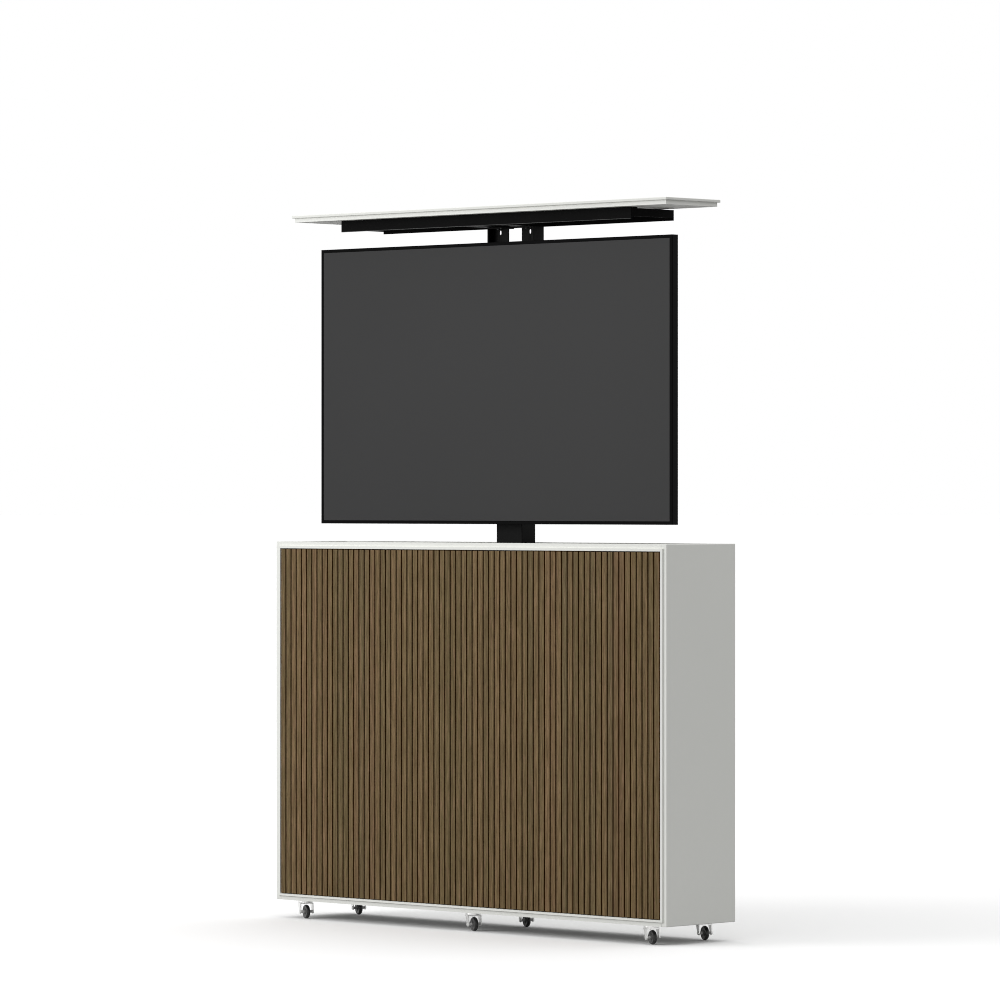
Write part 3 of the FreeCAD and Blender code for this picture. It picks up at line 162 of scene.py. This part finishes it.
class Tree:
    """A material's nodes, with short calls for the ones used here."""

    def __init__(self, name):
        self.material = bpy.data.materials.new(name)
        self.material.use_nodes = True
        self.tree = self.material.node_tree
        self.tree.nodes.clear()
        self.output = self.add("ShaderNodeOutputMaterial")
        self.shader = self.add("ShaderNodeBsdfPrincipled")
        self.link(self.shader.outputs[0], self.output.inputs[0])
        self.place = self.add("ShaderNodeTexCoord").outputs["Object"]

    def add(self, kind, **settings):
        node = self.tree.nodes.new(kind)
        for key, value in settings.items():
            setattr(node, key, value)
        return node

    def link(self, start, end):
        self.tree.links.new(start, end)

    def feed(self, socket, value):
        if isinstance(value, bpy.types.NodeSocket):
            self.link(value, socket)
        elif value is not None:
            socket.default_value = value

    def scaled(self, scale, source=None):
        node = self.add("ShaderNodeMapping")
        node.inputs["Scale"].default_value = scale
        self.link(source or self.place, node.inputs["Vector"])
        return node.outputs[0]

    def noise(self, scale, vector=None, detail=4.0, rough=0.55, distortion=0.0):
        node = self.add("ShaderNodeTexNoise")
        self.link(vector or self.place, node.inputs["Vector"])
        node.inputs["Scale"].default_value = scale
        node.inputs["Detail"].default_value = detail
        node.inputs["Roughness"].default_value = rough
        node.inputs["Distortion"].default_value = distortion
        return node.outputs["Fac"]

    def math(self, operation, a, b=None):
        node = self.add("ShaderNodeMath", operation=operation)
        for socket, value in zip(node.inputs, (a, b)):
            self.feed(socket, value)
        return node.outputs[0]

    def span(self, value, low, high, to_low=0.0, to_high=1.0):
        node = self.add("ShaderNodeMapRange")
        for socket, item in zip(node.inputs, (value, low, high, to_low, to_high)):
            self.feed(socket, item)
        return node.outputs[0]

    def ramp(self, value, stops):
        node = self.add("ShaderNodeValToRGB")
        self.link(value, node.inputs[0])
        points = node.color_ramp.elements
        while len(points) < len(stops):
            points.new(0.5)
        for point, (position, colour) in zip(points, stops):
            point.position = position
            point.color = (*colour, 1.0)
        return node.outputs[0]

    def mix(self, share, a, b, blend="MIX"):
        node = self.add("ShaderNodeMix", data_type="RGBA", blend_type=blend)
        self.feed(node.inputs["Factor"], share)
        for socket, value in ((node.inputs[COLOUR_A], a), (node.inputs[COLOUR_B], b)):
            self.feed(socket, (*value, 1.0) if isinstance(value, tuple) else value)
        return node.outputs[COLOUR_OUT]

    def times(self, colour, factor):
        return self.mix(1.0, colour, factor, "MULTIPLY")

    def bump(self, height, strength, distance, below=None):
        node = self.add("ShaderNodeBump")
        node.inputs["Strength"].default_value = strength
        node.inputs["Distance"].default_value = distance
        self.link(height, node.inputs["Height"])
        self.feed(node.inputs["Normal"], below)
        return node.outputs[0]

    def axes(self, source=None):
        node = self.add("ShaderNodeSeparateXYZ")
        self.link(source or self.place, node.inputs[0])
        return node.outputs

    def facing(self):
        return self.axes(self.add("ShaderNodeNewGeometry").outputs["Normal"])

    def finish(self, colour, rough, normal, **fixed):
        self.feed(self.shader.inputs["Base Color"], colour)
        self.feed(self.shader.inputs["Roughness"], rough)
        self.feed(self.shader.inputs["Normal"], normal)
        for key, value in fixed.items():
            self.shader.inputs[key.replace("_", " ")].default_value = value
        return self.material


def shade(colour, factor):
    return tuple(channel * factor for channel in colour)


# ---- materials ----

def white_lacquer(name, tone, painted_underside_shade=None):
    """Satin white lacquer: faint orange peel, slow drifts of tone, perhaps painted shade on faces that look down.
    """
    t = Tree(name)
    drift = t.noise(2.2, detail=2.0)
    fine = t.noise(60.0, detail=3.0)
    colour = t.mix(t.span(drift, 0.3, 0.7), shade(tone, 0.985), shade(tone, 1.01))
    colour = t.mix(t.span(fine, 0.35, 0.65, 0.0, 0.35), colour, shade(tone, 0.985))
    rough = t.span(t.noise(9.0, detail=3.0), 0.3, 0.7, 0.50, 0.58)
    peel = t.bump(t.noise(420.0, detail=2.0, rough=0.4), 0.05, 0.0004)
    # Painted shade: faces that look down take a darker colour.
    if painted_underside_shade:
        underside_shade_mask = t.span(t.facing()[2], -0.8, -0.95)
        colour = t.mix(underside_shade_mask, colour, painted_underside_shade)
    return t.finish(colour, rough, peel, Specular_IOR_Level=0.12)


def slat_wood(name):
    """Brown stained veneer: each slat's own tone, long grain, pores, warm streaks, flecks."""
    t = Tree(name)

    # Each slat draws its own tone, hue and piece of veneer.
    number = t.math("ROUND", t.math("DIVIDE", t.axes()[0], SLAT_PITCH))
    chance = t.add("ShaderNodeTexWhiteNoise", noise_dimensions="1D")
    t.link(number, chance.inputs["W"])
    pick = t.add("ShaderNodeSeparateColor")
    t.link(chance.outputs["Color"], pick.inputs[0])
    own_tone, own_hue, own_shift = pick.outputs
    start = t.add("ShaderNodeCombineXYZ")
    t.link(t.math("MULTIPLY", own_shift, 37.0), start.inputs[2])
    t.link(t.math("MULTIPLY", own_hue, 11.0), start.inputs[0])
    shifted = t.add("ShaderNodeVectorMath", operation="ADD")
    t.link(t.place, shifted.inputs[0])
    t.link(start.outputs[0], shifted.inputs[1])
    board = shifted.outputs[0]

    # Figures in the veneer, all drawn out along the slat, and streaks of painted sheen.
    broad = t.noise(1.0, t.scaled((95.0, 95.0, 3.2), board), detail=3.0, distortion=0.6)
    grain = t.noise(
        1.0, t.scaled((520.0, 520.0, 9.0), board), detail=5.0, rough=0.62, distortion=0.3)
    pores = t.noise(1.0, t.scaled((1500.0, 1500.0, 55.0), board), detail=2.0, rough=0.5)
    streak = t.noise(1.0, t.scaled((150.0, 150.0, 1.6), board), detail=2.0, distortion=0.4)
    fleck = t.noise(1.0, t.scaled((260.0, 260.0, 24.0), board), detail=2.0, rough=0.6)
    sheen_streaks = t.noise(1.0, t.scaled((290.0, 290.0, 17.0), board), detail=3.0, rough=0.6)

    # Tone and hue of the slat, then the figures and the painted sheen over them.
    base = t.ramp(own_tone, [
        (0.0, (0.148, 0.107, 0.047)), (0.35, (0.165, 0.115, 0.051)),
        (0.7, (0.181, 0.124, 0.056)), (1.0, (0.210, 0.140, 0.067)),
    ])
    warm = t.mix(t.span(own_hue, 0.72, 1.0, 0.0, 0.40), base, (0.222, 0.122, 0.066))
    cool = t.mix(t.span(own_hue, 0.28, 0.0, 0.0, 0.30), warm, (0.142, 0.113, 0.062))
    darker = t.times(cool, (0.70, 0.68, 0.62))
    colour = t.mix(t.span(broad, 0.32, 0.68, 0.0, 0.55), cool, darker)
    colour = t.mix(t.span(streak, 0.58, 0.72, 0.0, 0.45), colour, (0.226, 0.130, 0.062))
    colour = t.mix(t.span(fleck, 0.56, 0.68, 0.0, 0.36), colour, (0.258, 0.140, 0.088))
    colour = t.mix(t.span(fleck, 0.44, 0.33, 0.0, 0.36), colour, (0.128, 0.103, 0.036))
    # Painted sheen: streaks of shaded and lit copies of the colour.
    shaded = t.times(colour, (0.66, 0.64, 0.58))
    lit = t.times(colour, (1.38, 1.40, 1.52))
    colour = t.mix(t.span(sheen_streaks, 0.32, 0.68), shaded, lit)
    colour = t.mix(t.span(grain, 0.46, 0.70, 0.0, 0.62), colour, (0.080, 0.052, 0.023))
    colour = t.mix(t.span(pores, 0.60, 0.70, 0.0, 0.75), colour, (0.040, 0.025, 0.011))

    # Painted shade: the slats' narrow sides, seen down the grooves, are darkened and browned. Their ends are
    # darker too.
    out_x, _, out_z = t.facing()
    groove_side_shade = t.span(t.math("ABSOLUTE", out_x), 0.8, 0.95)
    colour = t.mix(groove_side_shade, colour, t.times(colour, (0.44, 0.25, 0.05)))
    ends = t.span(t.math("ABSOLUTE", out_z), 0.8, 0.95)
    colour = t.mix(ends, colour, t.times(colour, (0.50, 0.45, 0.38)))

    rough = t.span(grain, 0.3, 0.7, 0.55, 0.68)
    lines = t.bump(grain, 0.25, 0.0003)
    pits = t.bump(t.span(pores, 0.58, 0.70, 1.0, 0.0), 0.35, 0.0002, lines)
    return t.finish(colour, rough, pits, Specular_IOR_Level=0.11)


def stained_board(name):
    """Dark brown board behind the slats, with a flat felt-like texture."""
    t = Tree(name)
    grain = t.noise(1.0, t.scaled((260.0, 260.0, 12.0)), detail=4.0)
    specks = t.noise(900.0, detail=2.0)
    colour = t.mix(t.span(grain, 0.35, 0.65), (0.030, 0.014, 0.002), (0.046, 0.022, 0.003))
    colour = t.mix(t.span(specks, 0.55, 0.7, 0.0, 0.5), colour, (0.012, 0.007, 0.002))
    rough = t.span(grain, 0.3, 0.7, 0.72, 0.85)
    return t.finish(colour, rough, t.bump(specks, 0.2, 0.0002), Specular_IOR_Level=0.04)


def plain_board(name):
    """Sealed softwood batten."""
    t = Tree(name)
    rings = t.noise(1.0, t.scaled((70.0, 70.0, 3.0)), detail=3.0, distortion=1.2)
    grain = t.noise(1.0, t.scaled((600.0, 600.0, 14.0)), detail=4.0)
    colour = t.mix(t.span(rings, 0.35, 0.65), (0.60, 0.44, 0.27), (0.48, 0.32, 0.17))
    colour = t.mix(t.span(grain, 0.5, 0.7, 0.0, 0.5), colour, (0.34, 0.21, 0.10))
    rough = t.span(grain, 0.3, 0.7, 0.55, 0.7)
    return t.finish(colour, rough, t.bump(grain, 0.2, 0.0003), Specular_IOR_Level=0.3)


def powder_coat(name, tone, lift, rough_low, rough_high, specular):
    """Fine-textured powder coat: a tight grain with paler high spots."""
    t = Tree(name)
    skin = t.noise(1300.0, detail=3.0, rough=0.6)
    drift = t.noise(14.0, detail=3.0)
    colour = t.mix(t.span(drift, 0.3, 0.7), tone, lift)
    colour = t.mix(t.span(skin, 0.56, 0.74, 0.0, 0.4), colour, shade(lift, 1.6))
    rough = t.span(skin, 0.3, 0.7, rough_low, rough_high)
    return t.finish(colour, rough, t.bump(skin, 0.16, 0.00025), Specular_IOR_Level=specular)


def metal(name, tone, rough_low, rough_high, stretch, strength=0.08):
    """Bare or plated metal with fine rubbed lines."""
    t = Tree(name)
    lines = t.noise(1.0, t.scaled(stretch), detail=4.0, rough=0.6)
    cloud = t.noise(45.0, detail=3.0)
    colour = t.mix(t.span(cloud, 0.3, 0.7), shade(tone, 0.9), tone)
    colour = t.mix(t.span(lines, 0.52, 0.75, 0.0, 0.25), colour, shade(tone, 0.72))
    rough = t.span(lines, 0.3, 0.7, rough_low, rough_high)
    return t.finish(colour, rough, t.bump(lines, strength, 0.0001), Metallic=1.0)


def moulded_plastic(name, tone, rough_low, rough_high, specular, grain=900.0):
    """Moulded plastic with a spark-eroded grain."""
    t = Tree(name)
    cells = t.add("ShaderNodeTexVoronoi", feature="F1")
    t.link(t.place, cells.inputs["Vector"])
    cells.inputs["Scale"].default_value = grain
    pebbles = cells.outputs["Distance"]
    drift = t.noise(8.0, detail=2.0)
    colour = t.mix(t.span(drift, 0.3, 0.7), shade(tone, 0.88), shade(tone, 1.12))
    colour = t.mix(t.span(pebbles, 0.25, 0.75, 0.0, 0.3), colour, shade(tone, 1.5))
    rough = t.span(pebbles, 0.1, 0.8, rough_low, rough_high)
    return t.finish(colour, rough, t.bump(pebbles, 0.14, 0.0002), Specular_IOR_Level=specular)


def screen_glass(name):
    """Switched-off screen: dark, even, with a fine anti-glare etch."""
    t = Tree(name)
    etch = t.noise(2600.0, detail=2.0)
    drift = t.noise(1.6, detail=1.0)
    colour = t.mix(t.span(drift, 0.3, 0.7), (0.0330, 0.0330, 0.0335), (0.0350, 0.0350, 0.0355))
    rough = t.span(etch, 0.3, 0.7, 0.32, 0.38)
    return t.finish(colour, rough, t.bump(etch, 0.015, 0.00005), Specular_IOR_Level=0.07)


def bezel_metal(name):
    """Black anodised bezel with lines rubbed along its length."""
    t = Tree(name)
    lines = t.noise(1.0, t.scaled((8.0, 900.0, 900.0)), detail=3.0)
    colour = t.mix(t.span(lines, 0.35, 0.65), (0.0018, 0.0018, 0.0019), (0.0036, 0.0036, 0.0038))
    rough = t.span(lines, 0.3, 0.7, 0.40, 0.50)
    return t.finish(colour, rough, t.bump(lines, 0.05, 0.0001), Specular_IOR_Level=0.014)


def rubber(name, tone):
    """Soft black rubber with a dusting of paler bloom."""
    t = Tree(name)
    bloom = t.noise(120.0, detail=4.0)
    pits = t.noise(1100.0, detail=2.0)
    colour = t.mix(t.span(bloom, 0.45, 0.75), tone, shade(tone, 2.2))
    rough = t.span(bloom, 0.3, 0.7, 0.30, 0.48)
    return t.finish(colour, rough, t.bump(pits, 0.12, 0.0002), Specular_IOR_Level=0.5)


# Rubbed lines of the same size in every direction.
SCREW_LINES = (900.0, 900.0, 900.0)
PLATED_LINES = (420.0, 420.0, 420.0)

# Each material's maker and what it is given after the name.
RECIPES = {
    "white_lacquer": (white_lacquer, (0.835, 0.842, 0.805)),
    # Paler than the cabinet's lacquer, painting light onto the board's sides in the overhang's shade; the third
    # colour is painted shade on faces that look down.
    "plug_lacquer": (white_lacquer, (0.930, 0.936, 0.900), (0.640, 0.645, 0.615)),
    "slat_wood": (slat_wood,),
    "dark_board": (stained_board,),
    "raw_board": (plain_board,),
    "black_steel": (powder_coat, (0.0006, 0.0006, 0.0006), (0.0012, 0.0012, 0.0012),
                    0.52, 0.62, 0.03),
    "column_coat": (powder_coat, (0.0016, 0.0016, 0.0017), (0.0026, 0.0026, 0.0027),
                    0.40, 0.52, 0.06),
    # Pale grey for the front bar's painted edge highlight.
    "worn_edge": (powder_coat, (0.060, 0.060, 0.060), (0.085, 0.085, 0.085), 0.46, 0.58, 0.2),
    "lift_drive": (powder_coat, (0.060, 0.062, 0.066), (0.085, 0.088, 0.093), 0.42, 0.58, 0.4),
    "bright_tube": (metal, (0.72, 0.72, 0.73), 0.20, 0.34, (700.0, 700.0, 4.0)),
    "slide_plastic": (moulded_plastic, (0.013, 0.013, 0.013), 0.42, 0.56, 0.3),
    "black_plastic": (moulded_plastic, (0.0034, 0.0034, 0.0037), 0.46, 0.60, 0.05, 650.0),
    "tv_frame": (bezel_metal,),
    "tv_glass": (screen_glass,),
    "bright_screw": (metal, (0.62, 0.62, 0.60), 0.24, 0.40, SCREW_LINES, 0.12),
    "black_screw": (metal, (0.035, 0.035, 0.036), 0.34, 0.50, SCREW_LINES, 0.12),
    "spacer_rubber": (rubber, (0.010, 0.010, 0.010)),
    "chrome_steel": (metal, (0.82, 0.82, 0.81), 0.24, 0.38, PLATED_LINES, 0.05),
    "wheel_rubber": (rubber, (0.006, 0.006, 0.006)),
    "wheel_face": (moulded_plastic, (0.075, 0.075, 0.074), 0.34, 0.46, 0.4),
    "wheel_hub": (moulded_plastic, (0.150, 0.150, 0.148), 0.34, 0.46, 0.4),
    "hub_sleeve": (moulded_plastic, (0.78, 0.78, 0.77), 0.34, 0.46, 0.4),
}
MATERIALS = {name: maker(name, *values) for name, (maker, *values) in RECIPES.items()}

# The board under the lid takes a finish of its own: a paler tone as painted light, and painted shade on faces that
# look down.
OWN_MATERIAL = {"lid_plug": "plug_lacquer"}


def dress_cad():
    """Each carried-over node takes its slot's material, or its own."""
    for name, node in NODES.items():
        material = MATERIALS[OWN_MATERIAL.get(name, SLOT_OF[name])]
        for part in node.material_slots:
            part.material = material
        if not node.material_slots:
            node.data.materials.append(material)


# ---- edges ----

def soften(names, width):
    """Small rounded edges on nodes."""
    for name in names:
        node = NODES[name]
        weld = node.modifiers.new("weld", "WELD")
        weld.merge_threshold = WELD_DISTANCE
        bevel = node.modifiers.new("soft_edge", "BEVEL")
        bevel.width = width
        bevel.segments = EDGE_SEGMENTS
        bevel.limit_method = "ANGLE"
        bevel.angle_limit = math.radians(EDGE_ANGLE)
        bevel.harden_normals = True


# ---- mesh helpers ----

def mesh_piece(name, mesh, body, material_slots, smooth_angle):
    """A new piece from a finished mesh, riding on a CAD body."""
    piece = bpy.data.objects.new(name, mesh)
    bpy.context.scene.collection.objects.link(piece)
    for slot in material_slots:
        mesh.materials.append(MATERIALS[slot])
    mesh.shade_smooth()
    mesh.set_sharp_from_angle(angle=math.radians(smooth_angle))
    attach(piece, body)
    return piece


def lathe(profile, steps):
    """A closed ring turned about X from (x, radius, slot) points."""
    work = bmesh.new()
    rings = []
    for x, radius, _ in profile:
        ring = []
        for i in range(steps):
            angle = 2.0 * math.pi * i / steps
            ring.append(work.verts.new((x, radius * math.cos(angle), radius * math.sin(angle))))
        rings.append(ring)
    for k, (ring, (_, _, slot)) in enumerate(zip(rings, profile)):
        following = rings[(k + 1) % len(rings)]
        for i in range(steps):
            j = (i + 1) % steps
            face = work.faces.new((ring[i], ring[j], following[j], following[i]))
            face.material_index = slot
    bmesh.ops.recalc_face_normals(work, faces=work.faces[:])
    return work


def moved(work, matrix):
    bmesh.ops.transform(work, matrix=matrix, verts=work.verts[:])
    return work


def to_mesh(work, name):
    mesh = bpy.data.meshes.new(name)
    work.to_mesh(mesh)
    work.free()
    return mesh


# ---- casters ----

def wheel_profile():
    """Tyre with a parting line on a dished wheel, and a hub out to each leg."""
    rise = WHEEL_TREAD - WHEEL_SHOULDER
    radius = (WHEEL_HALF ** 2 + rise ** 2) / (2.0 * rise)
    lean = math.asin(WHEEL_HALF / radius)
    crown = []
    for i in range(CROWN_STEPS + 1):
        angle = lean * (1.0 - 2.0 * i / CROWN_STEPS)
        r = WHEEL_TREAD - radius + radius * math.cos(angle)
        if i == CROWN_STEPS // 2:
            crown += [(PARTING_HALF, r, TYRE), (0.0, r - PARTING_DEPTH, TYRE),
                      (-PARTING_HALF, r, TYRE)]
        else:
            crown.append((radius * math.sin(angle), r, TYRE))
    left = []
    for i in range(len(WHEEL_SIDE) - 1, -1, -1):
        x, r, _ = WHEEL_SIDE[i]
        left.append((-x, r, WHEEL_SIDE[max(i - 1, 0)][2]))
    return WHEEL_SIDE + crown + left


def caster_wheels():
    """A detailed wheel in each fork, in place of the plain one."""
    for number in range(1, WHEEL_COUNT + 1):
        name = "caster_wheel_%d" % number
        joint = next(j for j in frame["joints"] if j["name"] == "wheel_%d_spin" % number)
        axle = Vector(joint["axis"])
        turn = Matrix.Rotation(math.atan2(axle.y, axle.x), 4, "Z")
        place = Matrix.Translation(joint["pos_m"]) @ turn
        work = moved(lathe(wheel_profile(), WHEEL_STEPS), place)
        piece = mesh_piece(
            "wheel_%d_turned" % number, to_mesh(work, name), "wheel_%d" % number,
            WHEEL_MATERIALS, WHEEL_SMOOTH_ANGLE,
        )
        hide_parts(name)


# ---- low reliefs, built up along Y ----

def rounded(x, z, width, height, radius):
    """A rounded oblong about a point, as (x, z) pairs."""
    points = []
    for k, (side, rise) in enumerate(((1, 1), (-1, 1), (-1, -1), (1, -1))):
        for i in range(CORNER_STEPS + 1):
            angle = math.pi / 2 * (k + i / CORNER_STEPS)
            points.append((
                x + side * (width / 2 - radius) + radius * math.cos(angle),
                z + rise * (height / 2 - radius) + radius * math.sin(angle),
            ))
    return points


def stack(work, rings, slot):
    """A closed form through outlines, each with its y."""
    rows = [[work.verts.new((x, y, z)) for x, z in outline] for outline, y in rings]
    faces = [work.faces.new(rows[0]), work.faces.new(rows[-1])]
    for low, high in zip(rows, rows[1:]):
        for i in range(len(low)):
            j = (i + 1) % len(low)
            faces.append(work.faces.new((low[i], low[j], high[j], high[i])))
    for face in faces:
        face.material_index = slot


def eased(x, z, width, height, radius, y, rise, ease):
    """The outer rings of a relief, from its sunk foot to its crest."""
    foot = rounded(x, z, width, height, radius)
    crest = rounded(x, z, width - 2 * ease, height - 2 * ease, radius - ease * 0.5)
    return [(foot, y - SINK), (foot, y + rise - ease), (crest, y + rise)]


def raised(work, x, z, y, width, height, radius, rise, slot=0):
    """A pad with an eased edge."""
    stack(work, eased(x, z, width, height, radius, y, rise, rise * PAD_EASE), slot)


def rimmed(work, x, z, y, width, height, radius, rise, rim, slot=0):
    """A tray: a raised rim round a floor just above the surface."""
    inner = rounded(x, z, width - 2 * rim, height - 2 * rim, radius * 0.5)
    rings = eased(x, z, width, height, radius, y, rise, rise * TRAY_EASE)
    stack(work, rings + [(inner, y + rise), (inner, y + TRAY_FLOOR)], slot)


def cross(work, x, z, y, reach, width, slot):
    """A dark cross of painted shade where a driver recess would be, set a hair above a screw's head."""
    arm, half = reach / 2, width / 2
    outline = [
        (half, half), (half, arm), (-half, arm), (-half, half), (-arm, half), (-arm, -half),
        (-half, -half), (-half, -arm), (half, -arm), (half, -half), (arm, -half), (arm, half),
    ]
    points = [(x + px, z + pz) for px, pz in outline]
    stack(work, [(points, y - SINK), (points, y + CROSS_RISE)], slot)


def finished(name, work, body, material_slots):
    bmesh.ops.recalc_face_normals(work, faces=work.faces[:])
    mesh_piece(name, to_mesh(work, name), body, material_slots, RELIEF_SMOOTH_ANGLE)


def television_back():
    """Air louvres, a socket bay and cover screws on the television's back."""
    low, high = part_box("tv_rear_cover")
    y_hump, z_mid = high[1], (low[2] + high[2]) / 2
    louvres = bmesh.new()
    for side in (-1, 1):
        for i in range(LOUVRE_COUNT):
            x = side * (LOUVRE_START + LOUVRE_PITCH * i)
            raised(louvres, x, z_mid + LOUVRE_UP, y_hump, **LOUVRE)
    finished("tv_louvres", louvres, "carriage", ["black_plastic"])

    bay = bmesh.new()
    z_bay = z_mid + BAY_UP
    rimmed(bay, BAY_X, z_bay, y_hump, **BAY)
    for socket, count, aside, first, step in SOCKETS:
        for i in range(count):
            rimmed(bay, BAY_X + aside, z_bay + first - step * i, y_hump, **socket)
    finished("tv_socket_bay", bay, "carriage", ["black_plastic", "bright_screw"])

    screws = bmesh.new()
    y_flat = low[1] + COVER_DEPTH
    for x in COVER_SCREW_X:
        for z in (low[2] + COVER_SCREW_INSET, high[2] - COVER_SCREW_INSET):
            rimmed(screws, x, z, y_flat, **SCREW_WELL)
            raised(screws, x, z, y_flat, **SCREW_HEAD)
            cross(screws, x, z, y_flat + SCREW_HEAD["rise"], *COVER_CROSS, 2)
    finished("tv_cover_screws", screws, "carriage",
             ["black_plastic", "black_screw", "wheel_rubber"])


def back_screw_shade_crosses():
    """A dark cross of painted recess shade on each screw of the back panel."""
    low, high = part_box("back_panel_screws")
    work = bmesh.new()
    z_first, z_last = low[2] + BACK_SCREW_RADIUS, high[2] - BACK_SCREW_RADIUS
    for x in (low[0] + BACK_SCREW_RADIUS, high[0] - BACK_SCREW_RADIUS):
        for i in range(BACK_SCREW_ROWS):
            z = z_first + (z_last - z_first) * i / (BACK_SCREW_ROWS - 1)
            cross(work, x, z, high[1], *BACK_CROSS, 0)
    finished("back_screw_shade_crosses", work, "root", ["black_screw"])


def bar_edge_highlight():
    """Painted highlight: a pale grey roll along the lower edge of the lid's front bar."""
    low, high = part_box("lid_front_bar")
    half = (high[0] - low[0]) / 2 - HEM_END_GAP
    right = [(half - HEM_TAPER, HEM_RADIUS), (half, HEM_END_RADIUS), (half, HEM_BORE)]
    left = [(-x, radius) for x, radius in reversed(right)]
    work = lathe([(x, radius, 0) for x, radius in left + right], HEM_STEPS)
    middle = ((low[0] + high[0]) / 2, low[1] + HEM_INSET, low[2] + HEM_INSET)
    mesh = to_mesh(moved(work, Matrix.Translation(middle)), "front_bar_highlight")
    hem = mesh_piece("front_bar_highlight", mesh, "carriage", ["worn_edge"], HEM_SMOOTH_ANGLE)


# ---- stage ----

def backdrop_share(tree):
    """1 where a camera, glossy or transmission ray looks at the backdrop."""
    path = tree.nodes.new("ShaderNodeLightPath")
    total = path.outputs["Is Camera Ray"]
    for name in ("Is Glossy Ray", "Is Transmission Ray"):
        add = tree.nodes.new("ShaderNodeMath")
        add.operation = "MAXIMUM"
        tree.links.new(total, add.inputs[0])
        tree.links.new(path.outputs[name], add.inputs[1])
        total = add.outputs[0]
    return total


def floor_material():
    """Pale floor: near white where it is looked at, darker near the object as painted shade, a soft grey where it
    only bounces light.
    """
    material = bpy.data.materials.new("studio_floor")
    material.use_nodes = True
    tree = material.node_tree
    tree.nodes.clear()
    seen = backdrop_share(tree)
    mix = tree.nodes.new("ShaderNodeMix")
    mix.data_type = "RGBA"
    tree.links.new(seen, mix.inputs["Factor"])
    mix.inputs[COLOUR_A].default_value = (FLOOR_BOUNCE, FLOOR_BOUNCE, FLOOR_BOUNCE, 1.0)
    place = tree.nodes.new("ShaderNodeTexCoord")
    distance = tree.nodes.new("ShaderNodeVectorMath")
    distance.operation = "LENGTH"
    tree.links.new(place.outputs["Object"], distance.inputs[0])
    # Painted shade: the looked-at floor is darker close to the object.
    tone = tree.nodes.new("ShaderNodeMapRange")
    tree.links.new(distance.outputs["Value"], tone.inputs["Value"])
    for key, value in (("From Min", FLOOR_SPAN[0]), ("From Max", FLOOR_SPAN[1]),
                       ("To Min", FLOOR_NEAR_SHADE), ("To Max", FLOOR_FAR)):
        tone.inputs[key].default_value = value
    tree.links.new(tone.outputs[0], mix.inputs[COLOUR_B])
    shader = tree.nodes.new("ShaderNodeBsdfDiffuse")
    tree.links.new(mix.outputs[COLOUR_OUT], shader.inputs["Color"])
    out = tree.nodes.new("ShaderNodeOutputMaterial")
    tree.links.new(shader.outputs[0], out.inputs[0])
    return material


def floor():
    bpy.ops.mesh.primitive_plane_add(size=FLOOR_SIZE)
    plane = bpy.context.object
    plane.name = "studio_floor"
    plane.data.materials.append(floor_material())


def dome():
    """A world that is white to look at and lights the object more from overhead."""
    world = bpy.data.worlds.new("studio")
    bpy.context.scene.world = world
    world.use_nodes = True
    tree = world.node_tree
    tree.nodes.clear()
    seen = backdrop_share(tree)
    direction = tree.nodes.new("ShaderNodeTexCoord")
    upward = tree.nodes.new("ShaderNodeSeparateXYZ")
    tree.links.new(direction.outputs["Generated"], upward.inputs[0])
    strength = tree.nodes.new("ShaderNodeMapRange")
    tree.links.new(upward.outputs["Z"], strength.inputs["Value"])
    strength.inputs["To Min"].default_value = DOME_LOW
    strength.inputs["To Max"].default_value = DOME_TOP
    mix = tree.nodes.new("ShaderNodeMix")
    mix.data_type = "FLOAT"
    tree.links.new(seen, mix.inputs["Factor"])
    tree.links.new(strength.outputs[0], mix.inputs[FLOAT_A])
    mix.inputs[FLOAT_B].default_value = 1.0
    background = tree.nodes.new("ShaderNodeBackground")
    background.inputs["Color"].default_value = (1.0, 1.0, 1.0, 1.0)
    tree.links.new(mix.outputs[0], background.inputs["Strength"])
    out = tree.nodes.new("ShaderNodeOutputWorld")
    tree.links.new(background.outputs[0], out.inputs[0])


def key_light():
    """One broad soft light from the front left."""
    lamp = bpy.data.lights.new("key", "AREA")
    lamp.shape = "DISK"
    lamp.size = KEY_SIZE
    lamp.energy = KEY_POWER
    key = bpy.data.objects.new("key", lamp)
    bpy.context.scene.collection.objects.link(key)
    key.location = KEY_PLACE
    backward = Vector(KEY_PLACE) - Vector(KEY_TARGET)
    key.rotation_euler = backward.to_track_quat("Z", "Y").to_euler()


def camera():
    """Level long-lens camera off the front right corner."""
    data = bpy.data.cameras.new("camera")
    data.sensor_width = SENSOR
    data.lens = LENS
    data.clip_end = CLIP_END
    viewer = bpy.data.objects.new("camera", data)
    bpy.context.scene.collection.objects.link(viewer)
    viewer.location = CAMERA_PLACE
    viewer.rotation_euler = (math.radians(CAMERA_TILT), 0.0, math.radians(CAMERA_TURN))
    bpy.context.scene.camera = viewer


dress_cad()
caster_wheels()
television_back()
bar_edge_highlight()
back_screw_shade_crosses()
for edge_width, edge_names in EDGE_WIDTHS:
    soften(edge_names, edge_width)

bpy.context.scene.view_settings.view_transform = "Standard"
bpy.context.scene.cycles.filter_width = PIXEL_FILTER
floor()
dome()
key_light()
camera()
